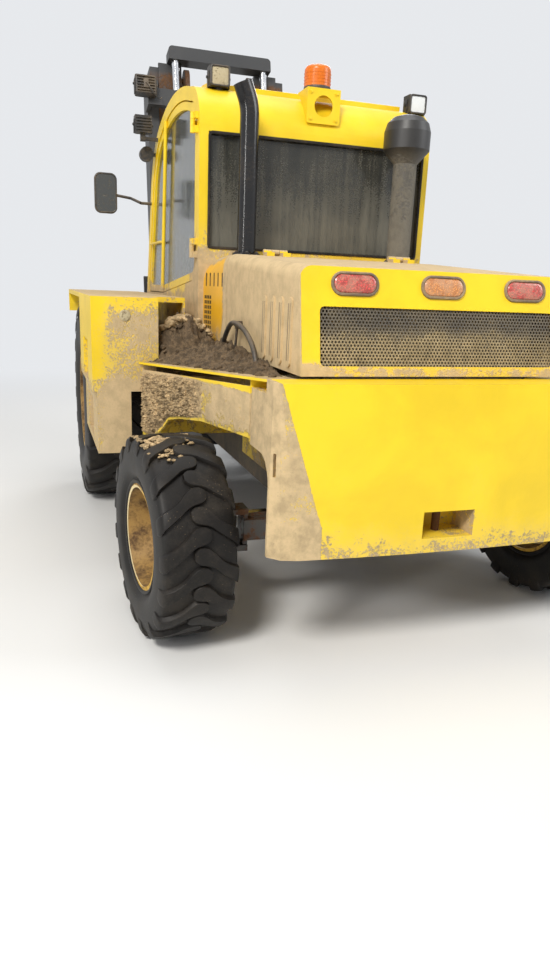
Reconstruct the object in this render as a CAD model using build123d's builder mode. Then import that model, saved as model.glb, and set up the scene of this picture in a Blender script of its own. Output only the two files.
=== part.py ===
from build123d import *
from math import atan2, cos, degrees, pi, radians, sin
import os

# Rough terrain forklift, standing with its mast tipped forward and the fork tips on the ground.
# X points to the driver's left, Y to the rear, Z up. The origin is on the ground, at the middle
# of the overall length. All sizes are in millimetres.

os.makedirs("parts", exist_ok=True)

# Driving sizes
WHEELBASE = 2186
REAR_OVERHANG = 609
PIVOT_AHEAD = 475
PIVOT_Z = 480
RUNNING_GAP = 6
SEAT_GAP = 0.3
PIN_GAP = 0.05

# Wheels
FRONT_TYRE_R = 634
FRONT_TYRE_W = 430
FRONT_RIM_R = 312
FRONT_OUTER_X = 1182
REAR_TYRE_R = 418
REAR_TYRE_W = 311
REAR_RIM_R = 212
REAR_WHEEL_OFFSET = 248
KINGPIN_X = 700
STEER_REST = 6.8

# Mast, measured along and across the upright mast from its pivot
MAST_TILT = 12
MAST_Y = -150
RAIL_OUTER_X = 560
RAIL_DEPTH = 180
RAIL_FLANGE = 85
RAIL_WEB = 16
RAIL_LIP = 20
OUTER_BOTTOM = -280
OUTER_TOP = 2480
INNER_OUTER_X = 530
INNER_DEPTH = 124
INNER_WIDTH = 110
INNER_WEB = 16
INNER_LIP = 18
INNER_BOTTOM = -150
INNER_TOP = 2590
CROSSHEAD_HALF = 400
CROSSHEAD_H = 95
LIFT_CYL_X = 345
LIFT_CYL_R = 40
LIFT_ROD_R = 28
CYL_AHEAD = 2
BEAM_HALF = 575
BEAM_H = 120
BEAM_D = 50

# Carriage and forks
CARRIAGE_HALF = 610
BAR_H = 110
BAR_D = 40
BAR_SPACING = 380
CARRIAGE_REACH = 132
FORK_LENGTH = 1220
FORK_W = 150
FORK_T = 50
FORK_TIP_T = 14
FORK_X = 330
FORK_GROUND = 3
BACKREST_H = 1220

tilt = radians(MAST_TILT)
BAR_BACK = MAST_Y - CARRIAGE_REACH
BAR_FRONT = BAR_BACK - BAR_D
FORK_FACE = BAR_FRONT - SEAT_GAP
FORK_TIP = FORK_FACE - FORK_T - FORK_LENGTH
FORK_Z = (FORK_GROUND - PIVOT_Z - FORK_TIP * sin(tilt)) / cos(tilt)
TIP_REACH = (FORK_Z + FORK_TIP_T) * sin(tilt) - FORK_TIP * cos(tilt)
OVERALL = REAR_OVERHANG + WHEELBASE + PIVOT_AHEAD + TIP_REACH

# Stations along the machine
REAR_FACE = OVERALL / 2
REAR_AXLE = REAR_FACE - REAR_OVERHANG
FRONT_AXLE = REAR_AXLE - WHEELBASE
PIVOT_Y = FRONT_AXLE - PIVOT_AHEAD
LEDGE = 150
PANEL_Y = REAR_FACE - LEDGE
COWL_Y = PANEL_Y - 1080
CAB_REAR = PANEL_Y - 1415
BOX_REAR = PANEL_Y - 1115

# Heights
RAIL_BOTTOM_Z = 560
RAIL_LOW_Z = 470
RAIL_TOP_Z = 840
DECK_Z = 1107
DECK_DROP = 54
ARCH_Z = 850
CW_TOP_Z = 1112
CW_BOTTOM_Z = 480
HOOD_Z = 1122
HOOD_TOP_REAR = 1500
HOOD_TOP_FRONT = 1566
CAB_FLOOR_Z = 1000
SILL_Z = 1350
FENDER_Z = 1351

# Widths
FRAME_IN = 360
FRAME_PLATE = 40
CROSS_HALF = FRAME_IN - SEAT_GAP
ARCH_X = 450
HOOD_HALF = 566
CAB_HALF_REAR = 634
CAB_HALF_FRONT = 690
FENDER_OUT = 1200
FENDER_IN = 704
BOX_IN = 888


def side_plane(x):
    """Plane across the machine at x: its own x runs to the rear and its y up."""
    return Plane.YZ.offset(x)


def rear_plane(y):
    """Plane along the machine at y: its own x runs to the left, its y up, its normal forward."""
    return Plane.XZ.offset(-y)


def mast_plane(x=0, y=0, z=0):
    """Plane square to the mast, placed in mast sizes: its own x to the left and its y to the rear."""
    up = Vector(0, -sin(tilt), cos(tilt))
    back = Vector(0, cos(tilt), sin(tilt))
    origin = Vector(x, PIVOT_Y, PIVOT_Z) + back * y + up * z
    return Plane(origin=origin, x_dir=(1, 0, 0), z_dir=up)


def mast_side(x):
    """Plane across the mast at x: its own x runs to the mast's rear and its y along the mast."""
    base = mast_plane(x)
    return Plane(origin=base.origin, x_dir=base.y_dir, z_dir=(1, 0, 0))


def wheel_plane(x, y, z, turn, side):
    """Plane of a wheel's middle: its normal is the wheel's outward axis."""
    outward = Vector(side * cos(radians(turn)), side * sin(radians(turn)), 0)
    return Plane(origin=(x, y, z), x_dir=(0, 0, 1), z_dir=outward)


# Frame: two side plates
AXLE_TUBE_R = 95
CROSS_YS = [PANEL_Y - 330, PANEL_Y - 1150, CAB_REAR - 420]
HANGER_HALF = 110
HANGER_T = 30
HANGER_Y = 105
AXLE_PIN_R = 35
CLEVIS_R = 52
MAST_PIN_R = 35
LUG_X = 500
LUG_T = 30
CLEVIS_T = 32
CLEVIS_IN = LUG_X - RUNNING_GAP - CLEVIS_T
CLEVIS_OUT = LUG_X + LUG_T + RUNNING_GAP
NOSE_BACK = PIVOT_Y + 190
NOSE_FRONT = PIVOT_Y + 84
NOSE_BOTTOM = 410
NOSE_TOP = 570
AXLE_NOTCH = AXLE_TUBE_R + 12
OUTRIGGER_YS = [PANEL_Y - 1450, PANEL_Y - 1850]
OUTRIGGER_H = 90
TILT_X = 300
TILT_ANCHOR_Y = PIVOT_Y + 760
TILT_ANCHOR_Z = 770
TILT_BOSS_R = 42
TILT_PIN_R = 22
TILT_EYE_W = 60
CW_NOSE_BACK = PANEL_Y - 22
CW_ARCH_R = 105

with BuildPart() as chassis_frame:
    for side in (1, -1):
        with BuildSketch(side_plane(side * (FRAME_IN + FRAME_PLATE / 2))):
            with BuildLine():
                Polyline(
                    (NOSE_FRONT, NOSE_BOTTOM), (NOSE_FRONT, RAIL_TOP_Z - 60), (NOSE_FRONT + 60, RAIL_TOP_Z),
                    (CW_NOSE_BACK - CW_ARCH_R, RAIL_TOP_Z), (CW_NOSE_BACK, RAIL_TOP_Z - CW_ARCH_R),
                    (CW_NOSE_BACK, RAIL_BOTTOM_Z),
                    (REAR_AXLE - 180, RAIL_BOTTOM_Z), (REAR_AXLE - 280, RAIL_LOW_Z),
                    (FRONT_AXLE + 300, RAIL_LOW_Z), (NOSE_BACK + 20, NOSE_BOTTOM), close=True,
                )
            make_face()
            with Locations((FRONT_AXLE, 0)):
                Rectangle(2 * AXLE_NOTCH, 2 * (FRONT_TYRE_R + AXLE_NOTCH), mode=Mode.SUBTRACT)
        extrude(amount=FRAME_PLATE / 2, both=True)
chassis_frame.part.label = "chassis_frame"
export_step(chassis_frame.part, "parts/chassis_frame.step")

# Cross members between the plates, the cab's outriggers over them and the rear axle's hangers
with BuildPart() as cross_members:
    for y in CROSS_YS:
        with Locations((0, y, RAIL_BOTTOM_Z + 40)):
            Box(2 * CROSS_HALF, 120, 80)
    with Locations((0, (NOSE_FRONT + NOSE_BACK) / 2, (NOSE_BOTTOM + NOSE_TOP) / 2)):
        Box(2 * CROSS_HALF, NOSE_BACK - NOSE_FRONT, NOSE_TOP - NOSE_BOTTOM)
    for y in OUTRIGGER_YS:
        with Locations((0, y, CAB_FLOOR_Z - 20 - OUTRIGGER_H / 2)):
            Box(2 * BOX_IN, 80, OUTRIGGER_H)
        for side in (1, -1):
            with Locations((side * (FRAME_IN + FRAME_PLATE / 2), y, CAB_FLOOR_Z - 20 - OUTRIGGER_H)):
                Box(
                    FRAME_PLATE, 80, CAB_FLOOR_Z - 20 - OUTRIGGER_H - RAIL_TOP_Z - SEAT_GAP,
                    align=(Align.CENTER, Align.CENTER, Align.MAX),
                )
    for y in (-1, 1):
        with BuildSketch(rear_plane(REAR_AXLE + y * (HANGER_Y + HANGER_T / 2))):
            with Locations((0, REAR_TYRE_R)):
                Circle(HANGER_HALF)
            with Locations((0, (REAR_TYRE_R + RAIL_BOTTOM_Z) / 2 + 30)):
                Rectangle(2 * HANGER_HALF, RAIL_BOTTOM_Z - REAR_TYRE_R + 60)
            with Locations((0, REAR_TYRE_R)):
                Circle(AXLE_PIN_R + PIN_GAP, mode=Mode.SUBTRACT)
        extrude(amount=HANGER_T / 2, both=True)
    with Locations((0, REAR_AXLE, RAIL_BOTTOM_Z + 40)):
        Box(2 * CROSS_HALF, 2 * (HANGER_Y + HANGER_T), 80)
    for side in (1, -1):
        for y in (PANEL_Y - 300, PANEL_Y - 950):
            with Locations((side * (FRAME_IN + FRAME_PLATE + SEAT_GAP), y, RAIL_TOP_Z - 60)):
                Box(
                    ARCH_X - FRAME_IN - FRAME_PLATE - 2 * SEAT_GAP, 60, 60,
                    align=(Align.MIN if side > 0 else Align.MAX, Align.CENTER, Align.CENTER),
                )
cross_members.part.label = "cross_members"
export_step(cross_members.part, "parts/cross_members.step")

# The mast's clevises beside the frame, each two cheeks and a pin on a block
with BuildPart() as mast_clevises:
    for side in (1, -1):
        with Locations((
            side * (FRAME_IN + FRAME_PLATE + SEAT_GAP), (NOSE_FRONT + NOSE_BACK) / 2, (NOSE_BOTTOM + NOSE_TOP) / 2,
        )):
            Box(
                CLEVIS_OUT + CLEVIS_T - FRAME_IN - FRAME_PLATE - SEAT_GAP, NOSE_BACK - NOSE_FRONT,
                NOSE_TOP - NOSE_BOTTOM, align=(Align.MIN if side > 0 else Align.MAX, Align.CENTER, Align.CENTER),
            )
        for x in (CLEVIS_IN, CLEVIS_OUT):
            with BuildSketch(side_plane(side * (x + CLEVIS_T / 2))):
                with Locations((PIVOT_Y, PIVOT_Z)):
                    Circle(CLEVIS_R)
                with Locations(((PIVOT_Y + NOSE_FRONT) / 2, PIVOT_Z)):
                    Rectangle(NOSE_FRONT - PIVOT_Y, 2 * CLEVIS_R)
            extrude(amount=CLEVIS_T / 2, both=True)
        with Locations(Location((side * (CLEVIS_IN + CLEVIS_OUT + CLEVIS_T) / 2, PIVOT_Y, PIVOT_Z), (0, 90, 0))):
            Cylinder(MAST_PIN_R - PIN_GAP, CLEVIS_OUT + CLEVIS_T - CLEVIS_IN)
mast_clevises.part.label = "mast_clevises"
export_step(mast_clevises.part, "parts/mast_clevises.step")

# The tilt cylinders' anchors: two eyes and a pin for each on a beam between the plates
with BuildPart() as tilt_anchors:
    with Locations((0, TILT_ANCHOR_Y + 150, TILT_ANCHOR_Z)):
        Box(2 * CROSS_HALF, 60, 2 * TILT_BOSS_R)
    for side in (1, -1):
        for x in (-1, 1):
            eye_x = side * TILT_X + x * (TILT_EYE_W / 2 + RUNNING_GAP + 10)
            with BuildSketch(side_plane(eye_x)):
                with Locations((TILT_ANCHOR_Y, TILT_ANCHOR_Z)):
                    Circle(TILT_BOSS_R)
                with Locations((TILT_ANCHOR_Y + 60, TILT_ANCHOR_Z)):
                    Rectangle(120, 2 * TILT_BOSS_R)
            extrude(amount=10, both=True)
        with Locations(Location((side * TILT_X, TILT_ANCHOR_Y, TILT_ANCHOR_Z), (0, 90, 0))):
            Cylinder(TILT_PIN_R - PIN_GAP, TILT_EYE_W + 2 * RUNNING_GAP + 40)
tilt_anchors.part.label = "tilt_anchors"
export_step(tilt_anchors.part, "parts/tilt_anchors.step")

# Counterweight: a wide slab whose rear face narrows downwards, over a nose between the frame's plates
# Columns: height, half width of the rear face, of the bevel's crease and of the flank
CW_LEVELS = [
    (CW_BOTTOM_Z, 512, 650, 690),
    (600, 506, 655, 690),
    (CW_TOP_Z, 672, 676, 686),
]
CW_CREASE = 38
CW_BEVEL = 80
CW_ARCH_Z = 842
CW_WELL_X = 500
CW_WELL_TURN = 21
CW_SLAB_FRONT = PANEL_Y - 20
CW_UPPER_FRONT = PANEL_Y - 190
NOSE_HALF = FRAME_IN - SEAT_GAP
CW_NOSE_FRONT = PANEL_Y - 250
CW_WING_TOP = 1060
CW_NOSE_TOP = CW_TOP_Z - 30
CW_BODY_FRONT = PANEL_Y - 8
POCKET_HALF = 108
POCKET_LOW = 536
POCKET_HIGH = 640
POCKET_DEPTH = 150
TOW_PIN_R = 16
TOW_PIN_IN = 95
TOW_PIN_BURY = 45
CW_BULGE = 30
SLOT_Z = 825
SLOT_H = 85

with BuildPart() as wheel_well:
    turn = radians(CW_WELL_TURN)
    well_plane = Plane(
        origin=(CW_WELL_X, CW_SLAB_FRONT, 0), x_dir=(-sin(turn), cos(turn), 0), z_dir=(cos(turn), sin(turn), 0)
    )
    with BuildSketch(well_plane) as well:
        with Locations((-200, CW_ARCH_Z / 2)):
            Rectangle(400, CW_ARCH_Z)
        fillet(well.vertices().group_by(Axis.Y)[-1].sort_by(Axis.X)[-1], CW_ARCH_R)
    extrude(amount=300)
    with BuildSketch(side_plane(0)) as inner_well:
        with Locations((CW_SLAB_FRONT - 200, CW_ARCH_Z / 2)):
            Rectangle(400, CW_ARCH_Z)
        fillet(inner_well.vertices().group_by(Axis.Y)[-1].sort_by(Axis.X)[-1], CW_ARCH_R)
    extrude(amount=CW_WELL_X + 80)

with BuildPart() as counterweight:
    for z, rear, crease, flank in CW_LEVELS:
        with BuildSketch(Plane.XY.offset(z)):
            with BuildLine():
                half = [
                    (flank, CW_UPPER_FRONT), (flank, REAR_FACE - CW_BEVEL),
                    (crease, REAR_FACE - CW_CREASE), (rear, REAR_FACE),
                ]
                Polyline(half + [(-x, y) for x, y in reversed(half)], close=True)
            make_face()
    loft(ruled=True)
    add(wheel_well.part, mode=Mode.SUBTRACT)
    add(mirror(wheel_well.part, about=Plane.YZ), mode=Mode.SUBTRACT)
    with BuildSketch(side_plane(0)):
        with Locations(((CW_UPPER_FRONT + CW_BODY_FRONT) / 2 - 20, (CW_WING_TOP + CW_TOP_Z) / 2 + 20)):
            Rectangle(CW_BODY_FRONT - CW_UPPER_FRONT + 40, CW_TOP_Z - CW_WING_TOP + 40)
    extrude(amount=700, both=True, mode=Mode.SUBTRACT)
    with BuildSketch(Plane.XY):
        with BuildLine():
            arc = ThreePointArc((700, REAR_FACE - CW_BULGE), (0, REAR_FACE), (-700, REAR_FACE - CW_BULGE))
            Polyline(arc @ 1, (-700, CW_UPPER_FRONT - 10), (700, CW_UPPER_FRONT - 10), arc @ 0)
        make_face()
    extrude(amount=CW_TOP_Z + 10, mode=Mode.INTERSECT)
    with Locations((0, (CW_NOSE_FRONT + CW_SLAB_FRONT) / 2, (CW_BOTTOM_Z + CW_NOSE_TOP) / 2)):
        Box(2 * NOSE_HALF, CW_SLAB_FRONT - CW_NOSE_FRONT, CW_NOSE_TOP - CW_BOTTOM_Z)
    with Locations((0, REAR_FACE - POCKET_DEPTH / 2, (POCKET_LOW + POCKET_HIGH) / 2)):
        Box(2 * POCKET_HALF, POCKET_DEPTH, POCKET_HIGH - POCKET_LOW, mode=Mode.SUBTRACT)
    with Locations((0, REAR_FACE - TOW_PIN_IN, (POCKET_LOW + POCKET_HIGH) / 2)):
        Cylinder(TOW_PIN_R + PIN_GAP, POCKET_HIGH - POCKET_LOW + 2 * TOW_PIN_BURY, mode=Mode.SUBTRACT)
    for side in (1, -1):
        with Locations(Location((side * 684, REAR_FACE - CW_BEVEL + 22, SLOT_Z), (0, 0, side * 38))):
            Box(60, 14, SLOT_H, mode=Mode.SUBTRACT)
counterweight.part.label = "counterweight"
export_step(counterweight.part, "parts/counterweight.step")

with BuildPart() as tow_pin:
    with Locations((0, REAR_FACE - TOW_PIN_IN, (POCKET_LOW + POCKET_HIGH) / 2)):
        Cylinder(TOW_PIN_R, POCKET_HIGH - POCKET_LOW + 2 * TOW_PIN_BURY)
tow_pin.part.label = "tow_pin"
export_step(tow_pin.part, "parts/tow_pin.step")

# Side decks: a flared walkway plate on a flat wheel arch wall, with a skirt under its outer edge
DECK_T = 10
DECK_BACK = CW_BODY_FRONT - 4
DECK_FRONT = BOX_REAR + SEAT_GAP
ARCH_BACK = CW_UPPER_FRONT - 4
ARCH_LOW_Z = 600
DECK_OUT_REAR = 652
DECK_OUT_FRONT = 980
SKIRT_T = 8
SKIRT_SLOT = 26
SKIRT_IN = 14
ARCH_WALL = 8
# Lower edge of the skirt, clear of the steered tyre: distance behind the deck's front, height
SKIRT_EDGE = [(0, 700), (105, 700), (210, 770), (265, 820), (365, 842), (565, 866), (ARCH_BACK - DECK_FRONT, 866)]
deck_tilt = atan2(DECK_DROP, DECK_BACK - DECK_FRONT)


def deck_edge(y):
    """How far out the deck's outer edge lies at y."""
    share = (DECK_BACK - y) / (DECK_BACK - DECK_FRONT)
    return DECK_OUT_REAR + share * (DECK_OUT_FRONT - DECK_OUT_REAR)


def deck_under(y):
    """Height of the deck's underside at y."""
    return DECK_Z - DECK_DROP * (DECK_BACK - y) / (DECK_BACK - DECK_FRONT) - DECK_T


for side, name in ((1, "left"), (-1, "right")):
    with BuildPart() as skirt:
        with BuildSketch():
            with BuildLine():
                Polyline(
                    (side * (deck_edge(ARCH_BACK) - SKIRT_IN - SKIRT_T), ARCH_BACK),
                    (side * (deck_edge(ARCH_BACK) - SKIRT_IN), ARCH_BACK),
                    (side * (DECK_OUT_FRONT - SKIRT_IN), DECK_FRONT),
                    (side * (DECK_OUT_FRONT - SKIRT_IN - SKIRT_T), DECK_FRONT), close=True,
                )
            make_face()
        extrude(amount=DECK_Z)
        with BuildSketch(side_plane(0)):
            with BuildLine():
                Polyline(
                    [(DECK_FRONT + back, z) for back, z in SKIRT_EDGE]
                    + [(ARCH_BACK, deck_under(ARCH_BACK) - SKIRT_SLOT), (DECK_FRONT, deck_under(DECK_FRONT) - SKIRT_SLOT)],
                    close=True,
                )
            make_face()
        extrude(amount=1000, both=True, mode=Mode.INTERSECT)
    with BuildPart() as side_deck:
        deck_plane = Plane(
            origin=(0, DECK_BACK, DECK_Z), x_dir=(1, 0, 0), z_dir=(0, -sin(deck_tilt), cos(deck_tilt))
        )
        with BuildSketch(deck_plane):
            with BuildLine():
                Polyline(
                    (side * ARCH_X, 0), (side * DECK_OUT_REAR, 0),
                    (side * DECK_OUT_FRONT, DECK_FRONT - DECK_BACK), (side * ARCH_X, DECK_FRONT - DECK_BACK),
                    close=True,
                )
            make_face()
        extrude(amount=-DECK_T)
        with BuildSketch(side_plane(side * (ARCH_X + ARCH_WALL / 2))):
            with BuildLine():
                Polyline(
                    (ARCH_BACK, DECK_Z - DECK_DROP * 0.18 - DECK_T / 2), (ARCH_BACK, ARCH_Z),
                    (ARCH_BACK - 70, ARCH_LOW_Z),
                    (DECK_FRONT, ARCH_LOW_Z), (DECK_FRONT, DECK_Z - DECK_DROP - DECK_T / 2), close=True,
                )
            make_face()
        extrude(amount=ARCH_WALL / 2, both=True)
        add(skirt.part)
        for y, low in ((ARCH_BACK - 4, ARCH_Z + 2), (DECK_FRONT + 4, SKIRT_EDGE[0][1])):
            reach = deck_edge(y) - SKIRT_IN - SKIRT_T / 2 - ARCH_X - ARCH_WALL / 2
            with Locations((side * (ARCH_X + ARCH_WALL / 2 + reach / 2), y, (deck_under(y) + low) / 2)):
                Box(reach, 8, deck_under(y) + 1 - low)
    side_deck.part.label = f"side_deck_{name}"
    export_step(side_deck.part, f"parts/side_deck_{name}.step")

# Fenders: a flat mudguard over the front wheel, a box behind it and a step well below
FENDER_T = 26
FENDER_FRONT = FRONT_AXLE - 600
FENDER_LIP = 150
BOX_BOTTOM = 911
BOX_FRONT = FRONT_AXLE + FRONT_TYRE_R + 25
STEP_IN = 1020
STEP_OUT = 1180
STEP_BOTTOM = 611
STEP_FRONT = BOX_FRONT + 60
STEP_TREAD = 320
STEP_RISE = 200
FENDER_SKIRT = 60

for side, name in ((1, "left"), (-1, "right")):
    with BuildPart() as fender:
        with BuildSketch(Plane.XY.offset(FENDER_Z)):
            with BuildLine():
                Polyline(
                    (side * FENDER_IN, FENDER_FRONT), (side * FENDER_OUT, FENDER_FRONT),
                    (side * FENDER_OUT, BOX_REAR), (side * BOX_IN, BOX_REAR),
                    (side * BOX_IN, BOX_REAR - 290), (side * FENDER_IN, BOX_REAR - 290), close=True,
                )
            make_face()
        extrude(amount=-FENDER_T)
        with Locations((side * (FENDER_IN + FENDER_OUT) / 2, FENDER_FRONT + 6, FENDER_Z - FENDER_LIP / 2)):
            Box(FENDER_OUT - FENDER_IN, 12, FENDER_LIP)
        with Locations((side * (FENDER_IN + 6), (FENDER_FRONT + BOX_REAR - 290) / 2, FENDER_Z - FENDER_LIP / 2)):
            Box(12, BOX_REAR - 290 - FENDER_FRONT, FENDER_LIP)
        with Locations((side * (BOX_IN + FENDER_OUT) / 2, (BOX_REAR + BOX_FRONT) / 2, (BOX_BOTTOM + FENDER_Z - 1) / 2)):
            Box(FENDER_OUT - BOX_IN, BOX_REAR - BOX_FRONT, FENDER_Z - 1 - BOX_BOTTOM)
        with Locations((side * (STEP_IN + STEP_OUT) / 2, (BOX_REAR + STEP_FRONT) / 2, (STEP_BOTTOM + BOX_BOTTOM + 2) / 2)):
            Box(STEP_OUT - STEP_IN, BOX_REAR - STEP_FRONT, BOX_BOTTOM + 2 - STEP_BOTTOM)
        for z in (STEP_BOTTOM + 30, STEP_BOTTOM + 30 + STEP_RISE + 90):
            with Locations((side * FENDER_OUT, (BOX_REAR + BOX_FRONT) / 2, z + STEP_RISE / 2)):
                Box(2 * (FENDER_OUT - STEP_IN - 30), STEP_TREAD, STEP_RISE, mode=Mode.SUBTRACT)
    fender.part.label = f"fender_{name}"
    export_step(fender.part, f"parts/fender_{name}.step")

# Hood: a folded shell with a raked rear panel, opening upwards about its front top edge
HOOD_T = 6
HOOD_R = 50
RAKE = 0.171
GRILLE_HALF = 491
GRILLE_LOW = 1157
GRILLE_HIGH = 1366
LAMP_X = 356
LAMP_Z = 1443
LAMP_LONG = 185
LAMP_HIGH = 83
LAMP_DEEP = 42
LAMP_PROUD = 9
HOOD_FRONT = COWL_Y + 3
HINGE_R = 12
HINGE_PIN_R = 6
HINGE_X = 330
HINGE_W = 40
HINGE_LIFT = 16
RIB_YS = [PANEL_Y - 130 - 105 * i for i in range(4)]
RIB_LOW = 1140
RIB_HIGH = 1390
RIB_W = 44
RIB_OUT = 7
panel_angle = degrees(atan2(RAKE, 1))
HINGE_Z = HOOD_TOP_FRONT + HINGE_LIFT


def hood_outline(inset):
    """Side outline of the hood, drawn in by a wall at its rear and top."""
    with BuildLine() as outline:
        rake_top = PANEL_Y - RAKE * (HOOD_TOP_REAR - inset - HOOD_Z)
        Polyline(
            (HOOD_FRONT, HOOD_Z), (PANEL_Y - inset, HOOD_Z), (rake_top - inset, HOOD_TOP_REAR - inset),
            (HOOD_FRONT, HOOD_TOP_FRONT - inset), close=True,
        )
    return outline.line


def panel_plane(x, z, proud=0):
    """Plane on the hood's raked rear face at x and z: its own x runs to the right, its normal rearwards."""
    return Plane(
        origin=(x, PANEL_Y - RAKE * (z - HOOD_Z) + proud, z), x_dir=(-1, 0, 0),
        z_dir=(0, cos(radians(panel_angle)), sin(radians(panel_angle))),
    )


with BuildPart() as hood_space:
    with BuildSketch(side_plane(0)):
        add(hood_outline(HOOD_T))
        make_face()
    extrude(amount=HOOD_HALF - HOOD_T, both=True)
    top_edges = hood_space.edges().filter_by(Axis.Z, reverse=True).filter_by(Axis.X, reverse=True)
    fillet(top_edges.filter_by(lambda e: e.center().Z > HOOD_TOP_REAR - 20), HOOD_R - HOOD_T)

with BuildPart() as hood:
    with BuildSketch(side_plane(0)):
        add(hood_outline(0))
        make_face()
    extrude(amount=HOOD_HALF, both=True)
    top_edges = hood.edges().filter_by(Axis.Z, reverse=True).filter_by(Axis.X, reverse=True)
    fillet(top_edges.filter_by(lambda e: e.center().Z > HOOD_TOP_REAR - 20), HOOD_R)
    for side in (1, -1):
        with BuildSketch(side_plane(side * HOOD_HALF)):
            for y in RIB_YS:
                with Locations((y, (RIB_LOW + RIB_HIGH) / 2)):
                    SlotOverall(RIB_HIGH - RIB_LOW, RIB_W, rotation=90)
        extrude(amount=side * RIB_OUT)
    add(hood_space.part, mode=Mode.SUBTRACT)
    with BuildSketch(panel_plane(0, (GRILLE_LOW + GRILLE_HIGH) / 2, 5)):
        RectangleRounded(2 * GRILLE_HALF, GRILLE_HIGH - GRILLE_LOW, 18)
    extrude(amount=-60, mode=Mode.SUBTRACT)
    for x in (-LAMP_X, 0, LAMP_X):
        with BuildSketch(panel_plane(x, LAMP_Z, LAMP_PROUD)):
            SlotOverall(LAMP_LONG, LAMP_HIGH)
        extrude(amount=-60, mode=Mode.SUBTRACT)
    for x in (-HINGE_X, HINGE_X):
        for end in (-1, 1):
            with BuildSketch(side_plane(x + end * HINGE_W)):
                with Locations((COWL_Y, HINGE_Z)):
                    Circle(HINGE_R)
                with Locations((COWL_Y + 30, HINGE_Z - HINGE_LIFT / 2 - 3)):
                    Rectangle(60, HINGE_LIFT + 2)
                with Locations((COWL_Y, HINGE_Z)):
                    Circle(HINGE_PIN_R + PIN_GAP, mode=Mode.SUBTRACT)
            extrude(amount=HINGE_W / 2 - 1, both=True)
hood.part.label = "hood"
export_step(hood.part, "parts/hood.step")

# Grille: a perforated sheet behind the rear panel's window
MESH_T = 4
MESH_EDGE = 14
MESH_ROWS = 6
MESH_COLUMNS = 29
MESH_PITCH = 33
MESH_HOLE_R = 11

with BuildPart() as grille:
    mesh_plane = panel_plane(0, (GRILLE_LOW + GRILLE_HIGH) / 2, -HOOD_T - 2 * SEAT_GAP)
    with BuildSketch(mesh_plane):
        Rectangle(2 * (GRILLE_HALF + MESH_EDGE), GRILLE_HIGH - GRILLE_LOW + MESH_EDGE)
        with GridLocations(MESH_PITCH, MESH_PITCH, MESH_COLUMNS, MESH_ROWS):
            RegularPolygon(MESH_HOLE_R, 4, rotation=45, mode=Mode.SUBTRACT)
    extrude(amount=-MESH_T)
grille.part.label = "grille"
export_step(grille.part, "parts/grille.step")

with BuildPart() as tail_lamps:
    for x in (-LAMP_X, 0, LAMP_X):
        with BuildSketch(panel_plane(x, LAMP_Z, LAMP_PROUD)):
            SlotOverall(LAMP_LONG - 2 * SEAT_GAP, LAMP_HIGH - 2 * SEAT_GAP)
        extrude(amount=-LAMP_DEEP)
    fillet(tail_lamps.edges().group_by(Axis.Y)[-1], 3)
tail_lamps.part.label = "tail_lamps"
export_step(tail_lamps.part, "parts/tail_lamps.step")

# Cowl: the fixed hump between hood and cab, flared and rounder at the cab, that carries the two stacks
COWL_FRONT = CAB_REAR + SEAT_GAP
STACK_X = 428
STACK_Y = CAB_REAR + 165
STACK_R = 46
CLEANER_X = -410
CLEANER_R = 60
COWL_BACK = COWL_Y - 3
COWL_HALF = 606
COWL_R = 140
VENT_Y = COWL_FRONT + 70
VENT_LOW = 1150
VENT_HIGH = 1370


def cowl_form(inset, reach):
    """Cowl between its hood end and its cab end, drawn in by a wall and run on past both ends."""
    with BuildPart() as form:
        for y, half, radius in ((COWL_BACK + reach, HOOD_HALF, HOOD_R), (COWL_FRONT - reach, COWL_HALF, COWL_R)):
            with BuildSketch(rear_plane(y)) as end:
                with Locations((0, (HOOD_Z - reach + HOOD_TOP_FRONT - inset) / 2)):
                    Rectangle(2 * (half - inset), HOOD_TOP_FRONT - inset - HOOD_Z + reach)
                fillet(end.vertices().group_by(Axis.Y)[-1], radius - inset)
        loft(ruled=True)
    return form.part


with BuildPart() as cowl:
    add(cowl_form(0, 0))
    add(cowl_form(HOOD_T, 1), mode=Mode.SUBTRACT)
    for side in (1, -1):
        with BuildSketch(side_plane(side * (COWL_HALF + 10))):
            with Locations((VENT_Y, (VENT_LOW + VENT_HIGH) / 2)):
                with GridLocations(26, 25, 4, 9):
                    Rectangle(17, 17)
        extrude(amount=-side * 60, mode=Mode.SUBTRACT)
    for x in (-HINGE_X, HINGE_X):
        with Locations(Location((x, COWL_Y, HINGE_Z), (0, 90, 0))):
            Cylinder(HINGE_PIN_R, 3 * HINGE_W)
        with Locations(Location((x, COWL_Y, HINGE_Z), (0, 90, 0))):
            Cylinder(HINGE_R, HINGE_W - 2 - 2 * SEAT_GAP)
        with Locations((x, COWL_Y - 22, HINGE_Z - 9)):
            Box(HINGE_W - 2 - 2 * SEAT_GAP, 44, HINGE_LIFT)
cowl.part.label = "cowl"
export_step(cowl.part, "parts/cowl.step")

# Stacks: a bent exhaust pipe on a flange, and an air cleaner pipe under a mushroom cap
STACK_TOP = 2196
STACK_BEND = 250
STACK_TIP = 55
STACK_WALL = 3
FLANGE_R = 70
FLANGE_T = 12
STACK_LEAN = 22

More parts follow.
